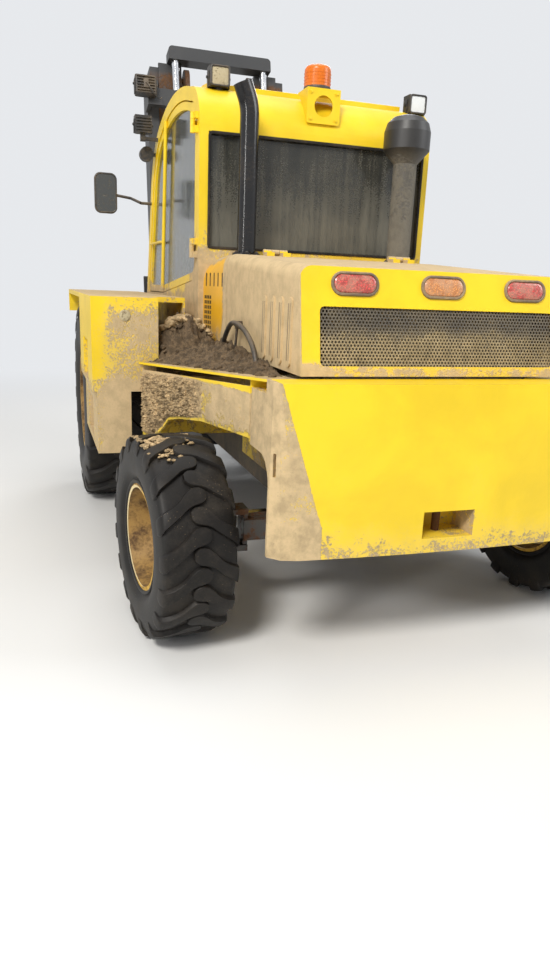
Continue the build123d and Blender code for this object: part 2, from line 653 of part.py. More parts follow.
with BuildPart() as exhaust_stack:
    base_z = HOOD_TOP_FRONT + SEAT_GAP
    with BuildLine(Plane.XZ.offset(-STACK_Y)) as stack_line:
        rise = Line((STACK_X, base_z), (STACK_X, STACK_TOP))
        bend = RadiusArc(
            rise @ 1, (STACK_X + STACK_BEND * (1 - cos(radians(STACK_LEAN))), STACK_TOP + STACK_BEND * sin(radians(STACK_LEAN))),
            STACK_BEND,
        )
        Line(bend @ 1, (bend @ 1) + (bend % 1) * STACK_TIP)
    with BuildSketch(Plane.XY.offset(base_z)):
        with Locations((STACK_X, STACK_Y)):
            Circle(STACK_R)
            Circle(STACK_R - STACK_WALL, mode=Mode.SUBTRACT)
    sweep(path=stack_line.wire())
    with BuildSketch(Plane.XY.offset(base_z)):
        with Locations((STACK_X, STACK_Y)):
            Circle(FLANGE_R)
    extrude(amount=FLANGE_T)
exhaust_stack.part.label = "exhaust_stack"
export_step(exhaust_stack.part, "parts/exhaust_stack.step")

CAP_R = 118
CAP_LOW = 2055
CAP_RIM = 2120
CAP_TOP = 2287
# Profile of the cap over its rim: distance from the axis, height
CAP_DOME = [(118, 2205), (106, 2246), (78, 2273), (40, 2285), (0, CAP_TOP)]

with BuildPart() as air_cleaner:
    base_z = HOOD_TOP_FRONT + SEAT_GAP
    with BuildSketch(Plane.XZ.offset(-STACK_Y)):
        with BuildLine():
            Polyline(
                (CLEANER_X, CAP_TOP), (CLEANER_X, base_z), (CLEANER_X + FLANGE_R, base_z),
                (CLEANER_X + FLANGE_R, base_z + FLANGE_T), (CLEANER_X + CLEANER_R, base_z + FLANGE_T),
                (CLEANER_X + CLEANER_R, CAP_LOW), (CLEANER_X + CAP_R, CAP_RIM),
                *[(CLEANER_X + r, z) for r, z in CAP_DOME[:-1]], close=True,
            )
        make_face()
    revolve(axis=Axis((CLEANER_X, STACK_Y, 0), (0, 0, 1)))
air_cleaner.part.label = "air_cleaner"
export_step(air_cleaner.part, "parts/air_cleaner.step")

# Engine and radiator
ENGINE_HALF = 260
ENGINE_TOP = 1340
RADIATOR_HALF = 440
RADIATOR_T = 85
RADIATOR_TOP = 1430

with BuildPart() as engine_block:
    with Locations((0, (CROSS_YS[0] + COWL_Y + 20) / 2, (RAIL_BOTTOM_Z + 80 + ENGINE_TOP) / 2)):
        Box(2 * ENGINE_HALF, CROSS_YS[0] - COWL_Y - 20, ENGINE_TOP - RAIL_BOTTOM_Z - 80)
engine_block.part.label = "engine_block"
export_step(engine_block.part, "parts/engine_block.step")

with BuildPart() as radiator:
    with Locations((0, CW_UPPER_FRONT + 5 + RADIATOR_T / 2, (CW_NOSE_TOP + RADIATOR_TOP) / 2)):
        Box(2 * RADIATOR_HALF, RADIATOR_T, RADIATOR_TOP - CW_NOSE_TOP)
radiator.part.label = "radiator"
export_step(radiator.part, "parts/radiator.step")

# Cab: an arched shell, wider at the front, with a rear window, a windscreen and a door each side
CAB_DEPTH = 1440
CAB_WALL = 45
CAB_POST = 65
CAB_LOW = CAB_FLOOR_Z - 20
WINDOW_LOW = 1600
WINDOW_HIGH = 2150
WINDOW_HALF = 594
WINDOW_X = -6
SCREEN_LOW = 1400
SCREEN_HIGH = 2150
SCREEN_HALF = 600
CORNER_R = 100
DOOR_LOW = SILL_Z + 10
DOOR_LOW_REAR = 1450
DOOR_FLAT = 900
GLASS_T = 6
DOOR_GAP = 6
DOOR_FRAME = 40
DOOR_T = 34
DOOR_IN = 5
DOOR_HINGE_X = CAB_HALF_REAR + 24
DOOR_HINGE_Y = CAB_REAR - 58
DOOR_HINGE_R = 12
DOOR_HINGE_PIN = 6
DOOR_HINGE_H = 32
DOOR_HINGE_ZS = [1600, 2190]


def cab_outline():
    """Side outline of the cab, rear edge first."""
    with BuildLine() as outline:
        rear = Line((CAB_REAR, CAB_LOW), (CAB_REAR, 2180))
        crown = ThreePointArc(rear @ 1, (CAB_REAR - 40, 2300), (CAB_REAR - 190, 2380))
        roof = ThreePointArc(crown @ 1, (CAB_REAR - 560, 2426), (CAB_REAR - 960, 2343))
        brow = ThreePointArc(roof @ 1, (CAB_REAR - 1165, 2203), (CAB_REAR - 1270, 1985))
        Polyline(brow @ 1, (CAB_REAR - CAB_DEPTH, SILL_Z), (CAB_REAR - CAB_DEPTH, CAB_LOW), rear @ 0)
    return outline.line


def cab_plan(inset):
    """Plan of the cab, drawn in by a wall on every side."""
    with BuildLine() as outline:
        Polyline(
            (CAB_HALF_REAR - inset, CAB_REAR - inset), (CAB_HALF_FRONT - inset, CAB_REAR - CAB_DEPTH + inset),
            (-CAB_HALF_FRONT + inset, CAB_REAR - CAB_DEPTH + inset), (-CAB_HALF_REAR + inset, CAB_REAR - inset),
            close=True,
        )
    return outline.line


def cab_half(ahead):
    """Half width of the cab at a distance ahead of its rear."""
    return CAB_HALF_REAR + (CAB_HALF_FRONT - CAB_HALF_REAR) * ahead / CAB_DEPTH


def opening_outline(shrink):
    """Door opening in a cab side, drawn in by a gap or a frame."""
    with BuildSketch() as opening:
        add(cab_outline())
        make_face()
        offset(amount=-CAB_POST)
        with BuildLine():
            Polyline(
                (CAB_REAR, DOOR_LOW_REAR), (CAB_REAR - DOOR_FLAT, DOOR_LOW), (CAB_REAR - CAB_DEPTH, DOOR_LOW),
                (CAB_REAR - CAB_DEPTH, 2500), (CAB_REAR, 2500), close=True,
            )
        make_face(mode=Mode.INTERSECT)
        corner = opening.vertices().filter_by(lambda v: v.Y < DOOR_LOW_REAR).sort_by(Axis.X)[-1]
        fillet(corner, CORNER_R)
        offset(amount=-shrink)
    return opening.sketch


with BuildPart() as cab_space:
    with BuildSketch(side_plane(0)):
        add(cab_outline())
        make_face()
        offset(amount=-CAB_WALL)
    extrude(amount=CAB_HALF_FRONT, both=True)
    with BuildSketch():
        add(cab_plan(CAB_WALL))
        make_face()
    extrude(amount=3000, mode=Mode.INTERSECT)

with BuildPart() as cab:
    with BuildSketch(side_plane(0)):
        add(cab_outline())
        make_face()
    extrude(amount=CAB_HALF_FRONT, both=True)
    with BuildSketch():
        add(cab_plan(0))
        make_face()
    extrude(amount=3000, mode=Mode.INTERSECT)
    add(cab_space.part, mode=Mode.SUBTRACT)
    with Locations((WINDOW_X, CAB_REAR, (WINDOW_LOW + WINDOW_HIGH) / 2)):
        Box(2 * WINDOW_HALF, 2 * CAB_WALL + 10, WINDOW_HIGH - WINDOW_LOW, mode=Mode.SUBTRACT)
    with Locations((0, CAB_REAR - CAB_DEPTH, (SCREEN_LOW + SCREEN_HIGH) / 2)):
        Box(2 * SCREEN_HALF, 480, SCREEN_HIGH - SCREEN_LOW, mode=Mode.SUBTRACT)
    with BuildSketch(side_plane(0)):
        add(opening_outline(0))
    extrude(amount=800, both=True, mode=Mode.SUBTRACT)
    for z in DOOR_HINGE_ZS:
        for end in (-1, 1):
            with Locations((DOOR_HINGE_X, DOOR_HINGE_Y, z + end * DOOR_HINGE_H)):
                Cylinder(DOOR_HINGE_R, DOOR_HINGE_H - 1)
            with Locations((CAB_HALF_REAR + 8, DOOR_HINGE_Y + 16, z + end * DOOR_HINGE_H)):
                Box(26, 30, DOOR_HINGE_H - 1)
        with Locations((DOOR_HINGE_X, DOOR_HINGE_Y, z)):
            Cylinder(DOOR_HINGE_PIN, 3 * DOOR_HINGE_H)
cab.part.label = "cab"
export_step(cab.part, "parts/cab.step")

ROOF_T = 26
ROOF_HALF = 530
ROOF_BACK = 190
ROOF_FRONT = 940

with BuildPart() as roof_panel:
    with BuildSketch(side_plane(0)):
        add(cab_outline())
        make_face()
        offset(amount=ROOF_T)
    extrude(amount=ROOF_HALF, both=True)
    with BuildSketch(side_plane(0)):
        add(cab_outline())
        make_face()
        offset(amount=SEAT_GAP)
    extrude(amount=ROOF_HALF, both=True, mode=Mode.SUBTRACT)
    with Locations((0, CAB_REAR - (ROOF_BACK + ROOF_FRONT) / 2, 2500)):
        Box(2 * ROOF_HALF, ROOF_FRONT - ROOF_BACK, 500, mode=Mode.INTERSECT)
roof_panel.part.label = "roof_panel"
export_step(roof_panel.part, "parts/roof_panel.step")


def side_strip(side, near, far):
    """Plan of a cab side between two depths under its outer face."""
    with BuildSketch() as strip:
        with BuildLine():
            Polyline(
                (side * (CAB_HALF_REAR - near), CAB_REAR), (side * (CAB_HALF_FRONT - near), CAB_REAR - CAB_DEPTH),
                (side * (CAB_HALF_FRONT - far), CAB_REAR - CAB_DEPTH), (side * (CAB_HALF_REAR - far), CAB_REAR),
                close=True,
            )
        make_face()
    return strip.sketch


with BuildPart() as glass_keep:
    with Locations((0, CAB_REAR - CAB_DEPTH, (SCREEN_LOW + SCREEN_HIGH) / 2)):
        Box(2 * SCREEN_HALF, 480, SCREEN_HIGH - SCREEN_LOW - 2 * SEAT_GAP)

with BuildPart() as screen:
    with BuildSketch(side_plane(0)):
        add(cab_outline())
        make_face()
        offset(amount=-(CAB_WALL - GLASS_T) / 2)
    extrude(amount=SCREEN_HALF - SEAT_GAP, both=True)
    with BuildSketch(side_plane(0)):
        add(cab_outline())
        make_face()
        offset(amount=-(CAB_WALL + GLASS_T) / 2)
    extrude(amount=SCREEN_HALF, both=True, mode=Mode.SUBTRACT)
    add(glass_keep.part, mode=Mode.INTERSECT)

with BuildPart() as cab_glass:
    with BuildSketch(side_plane(0)):
        add(opening_outline(SEAT_GAP))
    extrude(amount=-CAB_HALF_FRONT)
    with BuildSketch():
        add(side_strip(-1, (CAB_WALL - GLASS_T) / 2, (CAB_WALL + GLASS_T) / 2))
    extrude(amount=3000, mode=Mode.INTERSECT)
    add(screen.part)
    with Locations((WINDOW_X, CAB_REAR - CAB_WALL / 2, (WINDOW_LOW + WINDOW_HIGH) / 2)):
        Box(2 * (WINDOW_HALF - SEAT_GAP), GLASS_T, WINDOW_HIGH - WINDOW_LOW - 2 * SEAT_GAP)
cab_glass.part.label = "cab_glass"
export_step(cab_glass.part, "parts/cab_glass.step")

# Left door: a frame that follows the opening, hinged on the rear post, with its own pane and a grab bar
RAIL_R = 11
RAIL_AHEAD = 885
RAIL_TOP_AHEAD = 775
RAIL_FOOT = 1388
RAIL_TOP = 2325
RAIL_LINK_Z = 1665
LINK_AHEAD = 1268
RAIL_OUT = 4

with BuildPart() as door_left:
    with BuildSketch(side_plane(0)):
        add(opening_outline(DOOR_GAP))
        add(opening_outline(DOOR_GAP + DOOR_FRAME), mode=Mode.SUBTRACT)
    extrude(amount=CAB_HALF_FRONT)
    with BuildSketch():
        add(side_strip(1, DOOR_IN, DOOR_IN + DOOR_T))
    extrude(amount=3000, mode=Mode.INTERSECT)
    for z in DOOR_HINGE_ZS:
        with Locations((DOOR_HINGE_X, DOOR_HINGE_Y, z)):
            Cylinder(DOOR_HINGE_R, DOOR_HINGE_H - 1)
        with Locations((DOOR_HINGE_X - 8, DOOR_HINGE_Y - 28, z)):
            Box(10, 56, DOOR_HINGE_H - 1)
        with Locations((CAB_HALF_REAR + 2, DOOR_HINGE_Y - 45, z)):
            Box(24, 24, DOOR_HINGE_H - 1)
        with Locations((DOOR_HINGE_X, DOOR_HINGE_Y, z)):
            Cylinder(DOOR_HINGE_PIN + PIN_GAP, DOOR_HINGE_H, mode=Mode.SUBTRACT)
    foot = Vector(cab_half(RAIL_AHEAD) + RAIL_OUT, CAB_REAR - RAIL_AHEAD, RAIL_FOOT)
    head = Vector(cab_half(RAIL_TOP_AHEAD) + RAIL_OUT, CAB_REAR - RAIL_TOP_AHEAD, RAIL_TOP)
    joint = foot + (head - foot) * ((RAIL_LINK_Z - RAIL_FOOT) / (RAIL_TOP - RAIL_FOOT))
    link_end = Vector(cab_half(LINK_AHEAD) + RAIL_OUT, CAB_REAR - LINK_AHEAD, RAIL_LINK_Z)
    for start, end, radius in ((foot, head, RAIL_R), (joint, link_end, RAIL_R - 3)):
        with BuildSketch(Plane(origin=start, z_dir=end - start)):
            Circle(radius)
        extrude(amount=(end - start).length)
door_left.part.label = "door_left"
export_step(door_left.part, "parts/door_left.step")

with BuildPart() as door_glass:
    with BuildSketch(side_plane(0)):
        add(opening_outline(DOOR_GAP + DOOR_FRAME + SEAT_GAP))
    extrude(amount=CAB_HALF_FRONT)
    with BuildSketch():
        add(side_strip(1, DOOR_IN + (DOOR_T - GLASS_T) / 2, DOOR_IN + (DOOR_T + GLASS_T) / 2))
    extrude(amount=3000, mode=Mode.INTERSECT)
door_glass.part.label = "door_glass"
export_step(door_glass.part, "parts/door_glass.step")

# Seat and controls
SEAT_Y = CAB_REAR - 420
SEAT_W = 480
SEAT_L = 450
CUSHION_T = 110
CUSHION_Z = 1400
BACK_H = 520
BACK_T = 110
FLOOR_TOP = CAB_LOW + CAB_WALL
PEDESTAL_W = 360
CONSOLE_Y = CAB_REAR - CAB_DEPTH + CAB_WALL + 120
CONSOLE_TOP = 1480
CONSOLE_HALF = 560
CONSOLE_FRONT = 90
STEER_WHEEL_R = 185
STEER_WHEEL_RIM = 15
STEER_WHEEL_TILT = 30
COLUMN_R = 30
COLUMN_L = 240

with BuildPart() as seat_base:
    with Locations((0, SEAT_Y, (FLOOR_TOP + CUSHION_Z) / 2)):
        Box(PEDESTAL_W, PEDESTAL_W, CUSHION_Z - FLOOR_TOP)
seat_base.part.label = "seat_base"
export_step(seat_base.part, "parts/seat_base.step")

with BuildPart() as seat:
    with BuildSketch(side_plane(0)) as seat_side:
        with BuildLine():
            Polyline(
                (SEAT_Y - SEAT_L / 2, CUSHION_Z + SEAT_GAP), (SEAT_Y + SEAT_L / 2, CUSHION_Z + SEAT_GAP),
                (SEAT_Y + SEAT_L / 2 + 80, CUSHION_Z + CUSHION_T + BACK_H),
                (SEAT_Y + SEAT_L / 2 + 80 - BACK_T, CUSHION_Z + CUSHION_T + BACK_H),
                (SEAT_Y + SEAT_L / 2 - BACK_T, CUSHION_Z + CUSHION_T),
                (SEAT_Y - SEAT_L / 2, CUSHION_Z + CUSHION_T), close=True,
            )
        make_face()
        fillet(seat_side.vertices(), 24)
    extrude(amount=SEAT_W / 2, both=True)
seat.part.label = "seat"
export_step(seat.part, "parts/seat.step")

with BuildPart() as console:
    with BuildSketch(side_plane(0)):
        with BuildLine():
            Polyline(
                (CONSOLE_Y - CONSOLE_FRONT, FLOOR_TOP), (CONSOLE_Y + 60, FLOOR_TOP), (CONSOLE_Y + 60, CONSOLE_TOP - 110),
                (CONSOLE_Y + 110, CONSOLE_TOP - 90), (CONSOLE_Y + 40, CONSOLE_TOP),
                (CONSOLE_Y - CONSOLE_FRONT, CONSOLE_TOP - 40), close=True,
            )
        make_face()
    extrude(amount=CONSOLE_HALF, both=True)
console.part.label = "console"
export_step(console.part, "parts/console.step")

wheel_spot = Plane(
    origin=(0, CONSOLE_Y + 200, CONSOLE_TOP + 90), x_dir=(1, 0, 0),
    z_dir=(0, sin(radians(STEER_WHEEL_TILT)), cos(radians(STEER_WHEEL_TILT))),
)
with BuildPart() as steering_wheel:
    with Locations(wheel_spot):
        Torus(STEER_WHEEL_R, STEER_WHEEL_RIM)
        Cylinder(COLUMN_R + 8, 36)
        with PolarLocations(STEER_WHEEL_R / 2, 3, start_angle=90):
            Box(STEER_WHEEL_R, 26, 10)
    with Locations(wheel_spot.offset(-COLUMN_L / 2)):
        Cylinder(COLUMN_R, COLUMN_L)
    add(console.part, mode=Mode.SUBTRACT)
steering_wheel.part.label = "steering_wheel"
export_step(steering_wheel.part, "parts/steering_wheel.step")

# Beacon on its yellow bracket, work lights and mirrors
BEACON_X = 8
BEACON_R = 68
BEACON_H = 115
BRACKET_X = -5
BRACKET_LOW = 2235
BRACKET_TOP = 2400
BRACKET_W = 180
BRACKET_T = 8
BRACKET_HOLE_R = 50
BRACKET_REACH = 150

with BuildPart() as beacon_bracket:
    with BuildSketch(rear_plane(CAB_REAR + SEAT_GAP + BRACKET_T)):
        with Locations((BRACKET_X, (BRACKET_LOW + BRACKET_TOP) / 2)):
            RectangleRounded(BRACKET_W, BRACKET_TOP - BRACKET_LOW, 12)
            Circle(BRACKET_HOLE_R, mode=Mode.SUBTRACT)
    extrude(amount=BRACKET_T)
    with Locations((BRACKET_X, CAB_REAR + SEAT_GAP + BRACKET_T - BRACKET_REACH / 2, BRACKET_TOP - BRACKET_T / 2)):
        Box(BRACKET_W, BRACKET_REACH, BRACKET_T)
    for end in (-1, 1):
        with BuildSketch(side_plane(BRACKET_X + end * (BRACKET_W / 2 - BRACKET_T / 2))):
            with BuildLine():
                Polyline(
                    (CAB_REAR + SEAT_GAP + 2, BRACKET_LOW + 20), (CAB_REAR + SEAT_GAP + 2, BRACKET_TOP - 2),
                    (CAB_REAR - BRACKET_REACH + 20, BRACKET_TOP - 2), close=True,
                )
            make_face()
        extrude(amount=BRACKET_T / 2, both=True)
    with BuildSketch(side_plane(0)):
        add(cab_outline())
        make_face()
        offset(amount=SEAT_GAP)
    extrude(amount=BRACKET_W, both=True, mode=Mode.SUBTRACT)
beacon_bracket.part.label = "beacon_bracket"
export_step(beacon_bracket.part, "parts/beacon_bracket.step")

with BuildPart() as beacon:
    with Locations((BEACON_X, CAB_REAR - 66, BRACKET_TOP + SEAT_GAP + BEACON_H / 2)):
        Cylinder(BEACON_R, BEACON_H)
    fillet(beacon.edges().group_by(Axis.Z)[-1], 24)
beacon.part.label = "beacon"
export_step(beacon.part, "parts/beacon.step")

# Work lights. Columns: X, distance ahead of the cab's rear, height of the root, height of the foot
LIGHT_W = 100
LIGHT_D = 70
LIGHT_H = 95
LIGHTS = [
    (513, 135, 2352, 22),
    (-590, 135, 2352, 8),
    (766, 1035, 2264, 30),
    (-766, 1035, 2264, 30),
]
ARM_H = 18
HORN_R = 42
HORN_DEEP = 60
HORN_AHEAD = 1120
HORN_Z = 2190

with BuildPart() as cab_clear:
    with BuildSketch(side_plane(0)):
        add(cab_outline())
        make_face()
        offset(amount=SEAT_GAP)
    extrude(amount=800, both=True)
    with BuildSketch():
        add(cab_plan(-SEAT_GAP))
        make_face()
    extrude(amount=3000, mode=Mode.INTERSECT)

with BuildPart() as work_lights:
    for x, ahead, z, foot in LIGHTS:
        with Locations((x, CAB_REAR - ahead, z + foot + LIGHT_H / 2)):
            Box(LIGHT_W, LIGHT_D, LIGHT_H)
        with Locations((x, CAB_REAR - ahead, z + foot / 2)):
            Box(30, 30, foot + 30)
        if abs(x) > CAB_HALF_FRONT:
            side = 1 if x > 0 else -1
            with Locations((x + side * 15, CAB_REAR - ahead, z)):
                Box(abs(x) - cab_half(ahead) + 25, 24, ARM_H, align=(Align.MAX if side > 0 else Align.MIN, Align.CENTER, Align.CENTER))
    horn_x = cab_half(HORN_AHEAD) + HORN_R + 14
    with Locations(Location((horn_x, CAB_REAR - HORN_AHEAD, HORN_Z), (90, 0, 0))):
        Cylinder(HORN_R, HORN_DEEP)
    with Locations((horn_x - HORN_R, CAB_REAR - HORN_AHEAD, HORN_Z)):
        Box(60, 24, ARM_H)
    add(cab_clear.part, mode=Mode.SUBTRACT)
work_lights.part.label = "work_lights"
export_step(work_lights.part, "parts/work_lights.step")

MIRROR_AHEAD = 1400
MIRROR_ROOT_AHEAD = 1256
MIRROR_Z = 1975
MIRROR_X = 962
MIRROR_W = 145
MIRROR_H = 250
MIRROR_T = 24
ARM_R = 9

with BuildPart() as mirrors:
    for side in (1, -1):
        root_x = side * (cab_half(MIRROR_ROOT_AHEAD + ARM_R) + SEAT_GAP)
        root = (root_x, CAB_REAR - MIRROR_ROOT_AHEAD, MIRROR_Z - 60)
        with BuildLine() as arm_line:
            Polyline(
                root, (side * (CAB_HALF_FRONT + 60), CAB_REAR - MIRROR_ROOT_AHEAD, MIRROR_Z - 60),
                (side * (CAB_HALF_FRONT + 110), CAB_REAR - MIRROR_AHEAD, MIRROR_Z - 20),
                (side * MIRROR_X, CAB_REAR - MIRROR_AHEAD, MIRROR_Z),
            )
        with BuildSketch(Plane(origin=root, z_dir=(side, 0, 0))):
            Circle(ARM_R)
        sweep(path=arm_line.wire(), transition=Transition.ROUND)
        with BuildSketch(rear_plane(CAB_REAR - MIRROR_AHEAD + MIRROR_T / 2)):
            with Locations((side * MIRROR_X, MIRROR_Z)):
                RectangleRounded(MIRROR_W, MIRROR_H, 40)
        extrude(amount=MIRROR_T)
mirrors.part.label = "mirrors"
export_step(mirrors.part, "parts/mirrors.step")

# Front axle: a rigid drive axle under the frame's two side plates
FRONT_CENTRE_X = FRONT_OUTER_X - FRONT_TYRE_W / 2
DISC_IN = 40
FRONT_DISC_T = 22
AXLE_FLANGE_R = 150
AXLE_FLANGE_T = 30
DIFF_R = 190
DIFF_HALF = 150
AXLE_END = FRONT_CENTRE_X - DISC_IN - SEAT_GAP

with BuildPart() as front_axle:
    with BuildSketch(rear_plane(FRONT_AXLE)):
        with BuildLine():
            Polyline(
                (-AXLE_END, FRONT_TYRE_R), (-AXLE_END, FRONT_TYRE_R + AXLE_FLANGE_R),
                (-AXLE_END + AXLE_FLANGE_T, FRONT_TYRE_R + AXLE_FLANGE_R),
                (-AXLE_END + AXLE_FLANGE_T, FRONT_TYRE_R + AXLE_TUBE_R), (-DIFF_HALF - 100, FRONT_TYRE_R + AXLE_TUBE_R),
                (-DIFF_HALF, FRONT_TYRE_R + DIFF_R), (DIFF_HALF, FRONT_TYRE_R + DIFF_R),
                (DIFF_HALF + 100, FRONT_TYRE_R + AXLE_TUBE_R), (AXLE_END - AXLE_FLANGE_T, FRONT_TYRE_R + AXLE_TUBE_R),
                (AXLE_END - AXLE_FLANGE_T, FRONT_TYRE_R + AXLE_FLANGE_R), (AXLE_END, FRONT_TYRE_R + AXLE_FLANGE_R),
                (AXLE_END, FRONT_TYRE_R), close=True,
            )
        make_face()
    revolve(axis=Axis((0, FRONT_AXLE, FRONT_TYRE_R), (1, 0, 0)))
    for side in (1, -1):
        with Locations((side * (FRAME_IN + FRAME_PLATE / 2), FRONT_AXLE, FRONT_TYRE_R + AXLE_NOTCH / 2)):
            Box(FRAME_PLATE, 120, AXLE_NOTCH)
front_axle.part.label = "front_axle"
export_step(front_axle.part, "parts/front_axle.step")

# Rear axle: a beam on a centre pin, with a forked end for each knuckle
KINGPIN_R = 25
FORK_GAP = 68
EAR_T = 26
EAR_R = 48
EAR_NECK = 40
BEAM_HIGH = 90
BEAM_DEEP = 110

with BuildPart() as rear_axle:
    with Locations((0, REAR_AXLE, REAR_TYRE_R)):
        Box(2 * (KINGPIN_X - EAR_R - 12), BEAM_DEEP, BEAM_HIGH)
    with Locations(Location((0, REAR_AXLE, REAR_TYRE_R), (90, 0, 0))):
        Cylinder(85, 2 * HANGER_Y - 2 * RUNNING_GAP)
        Cylinder(AXLE_PIN_R, 2 * (HANGER_Y + HANGER_T) + 20)
    for side in (1, -1):
        with Locations((side * (KINGPIN_X - EAR_R - 22), REAR_AXLE, REAR_TYRE_R)):
            Box(20, 2 * EAR_NECK, 2 * (FORK_GAP + EAR_T))
        for level in (1, -1):
            with BuildSketch(Plane.XY.offset(REAR_TYRE_R + level * (FORK_GAP + EAR_T / 2))):
                with Locations((side * KINGPIN_X, REAR_AXLE)):
                    Circle(EAR_R)
                with Locations((side * (KINGPIN_X - 40), REAR_AXLE)):
                    Rectangle(80, 2 * EAR_R)
            extrude(amount=EAR_T / 2, both=True)
        with Locations((side * KINGPIN_X, REAR_AXLE, REAR_TYRE_R)):
            Cylinder(KINGPIN_R - PIN_GAP, 2 * (FORK_GAP + EAR_T))
rear_axle.part.label = "rear_axle"
export_step(rear_axle.part, "parts/rear_axle.step")

# Steering: knuckles at the rest angle, one cylinder on the beam and its through rod
ARM_BACK = 190
ARM_W = 36
ARM_T = 18
ARM_Z = REAR_TYRE_R + FORK_GAP - 2 - ARM_T / 2
KNUCKLE_R = 40
REAR_DISC_IN = 60
STUB_R = 42
HUB_FLANGE_R = 95
HUB_FLANGE_T = 16
steer = radians(STEER_REST)
REAR_FLANGE = REAR_WHEEL_OFFSET - REAR_DISC_IN - SEAT_GAP
ROD_R = 18
ROD_Y = REAR_AXLE - ARM_BACK
ROD_Z = ARM_Z - 60
ROD_END = KINGPIN_X - 30
ROD_SHIFT = ARM_BACK * sin(steer)
STEER_CYL_R = 42
STEER_CYL_HALF = 190
ROD_EYE_R = 30
ROD_EYE_T = 2 * ROD_R + 8


def axle_point(side, along, z=REAR_TYRE_R):
    """Point on the turned wheel axis, measured outwards from the kingpin."""
    return (side * (KINGPIN_X + along * cos(steer)), REAR_AXLE + side * along * sin(steer), z)


for side, name in ((1, "left"), (-1, "right")):
    with BuildPart() as knuckle:
        with Locations((side * KINGPIN_X, REAR_AXLE, REAR_TYRE_R)):
            Cylinder(KNUCKLE_R, 2 * (FORK_GAP - 2))
        with BuildSketch(wheel_plane(*axle_point(side, 0), STEER_REST, side)):
            Circle(STUB_R)
        extrude(amount=REAR_FLANGE)
        with BuildSketch(wheel_plane(*axle_point(side, REAR_FLANGE - HUB_FLANGE_T), STEER_REST, side)):
            Circle(HUB_FLANGE_R)
        extrude(amount=HUB_FLANGE_T)
        arm_tip = (side * KINGPIN_X + ARM_BACK * sin(steer), REAR_AXLE - ARM_BACK * cos(steer))
        with BuildSketch(Plane.XY.offset(ARM_Z)):
            with Locations(((side * KINGPIN_X + arm_tip[0]) / 2, (REAR_AXLE + arm_tip[1]) / 2)):
                SlotCenterToCenter(ARM_BACK, ARM_W, rotation=STEER_REST - 90)
        extrude(amount=ARM_T / 2, both=True)
        with Locations((side * KINGPIN_X, REAR_AXLE, REAR_TYRE_R)):
            Cylinder(KINGPIN_R, 4 * FORK_GAP, mode=Mode.SUBTRACT)
    knuckle.part.label = f"knuckle_{name}"
    export_step(knuckle.part, f"parts/knuckle_{name}.step")

with BuildPart() as steering_cylinder:
    with Locations(Location((0, ROD_Y, ROD_Z), (0, 90, 0))):
        Cylinder(STEER_CYL_R, 2 * STEER_CYL_HALF)
    for x in (-150, 150):
        with Locations((x, (ROD_Y + REAR_AXLE - BEAM_DEEP / 2) / 2, ROD_Z)):
            Box(40, REAR_AXLE - BEAM_DEEP / 2 - ROD_Y, 50)
    with Locations(Location((0, ROD_Y, ROD_Z), (0, 90, 0))):
        Cylinder(ROD_R + PIN_GAP, 2 * STEER_CYL_HALF, mode=Mode.SUBTRACT)
steering_cylinder.part.label = "steering_cylinder"
export_step(steering_cylinder.part, "parts/steering_cylinder.step")

with BuildPart() as steering_rod:
    with Locations(Location((ROD_SHIFT, ROD_Y, ROD_Z), (0, 90, 0))):
        Cylinder(ROD_R, 2 * ROD_END)
    for side in (1, -1):
        with Locations((ROD_SHIFT + side * ROD_END, ROD_Y, ROD_Z)):
            Cylinder(ROD_EYE_R, ROD_EYE_T)
steering_rod.part.label = "steering_rod"
export_step(steering_rod.part, "parts/steering_rod.step")

# Wheels: drop centre rims with a deep dish, and tyres whose bars meet in a staggered V
# Columns: name, centre, radius, half width, rim radius, bead half width, bars a side, bar depth
WHEELS = []
for side, name in ((1, "left"), (-1, "right")):
    front_centre = (side * FRONT_CENTRE_X, FRONT_AXLE, FRONT_TYRE_R)
    rear_centre = axle_point(side, REAR_WHEEL_OFFSET)
    WHEELS.append((f"front_{name}", side, 0, front_centre, FRONT_TYRE_R, FRONT_TYRE_W / 2, FRONT_RIM_R, 175, 17, 30))
    WHEELS.append((f"rear_{name}", side, STEER_REST, rear_centre, REAR_TYRE_R, REAR_TYRE_W / 2, REAR_RIM_R, 118, 15, 24))

RIM_WALL = 8
RIM_LIP = 14
HUB_R = {"front": 120, "rear": 62}
HUB_OUT = {"front": 90, "rear": 70}
DISC_AT = {"front": DISC_IN, "rear": REAR_DISC_IN}
DISC_T = {"front": FRONT_DISC_T, "rear": 14}


def section_plane(centre, turn, side):
    """Plane through a wheel's axis: its own x is the outward axis and its y is up."""
    outward = Vector(side * cos(radians(turn)), side * sin(radians(turn)), 0)
    return Plane(origin=centre, x_dir=outward, z_dir=outward.cross(Vector(0, 0, 1)))


def tyre_section(tip, half, rim, bead, inset):
    """Half section of a tyre above its axis, drawn in by an inset at the tread."""
    with BuildLine() as outline:
        for end in (1, -1):
            foot = Line((end * bead, rim + SEAT_GAP), (end * bead, rim + RIM_LIP + 4))
            wall = ThreePointArc(
                foot @ 1, (end * (half - inset / 4), (rim + tip) / 2 + 6),
                (end * (half * 0.96 - inset / 4), rim + (tip - rim) * 0.78),
            )
            Line(wall @ 1, (end * half * 0.84, tip - inset))
        Line((half * 0.84, tip - inset), (-half * 0.84, tip - inset))
        Line((bead, rim + SEAT_GAP), (-bead, rim + SEAT_GAP))
    return outline.line


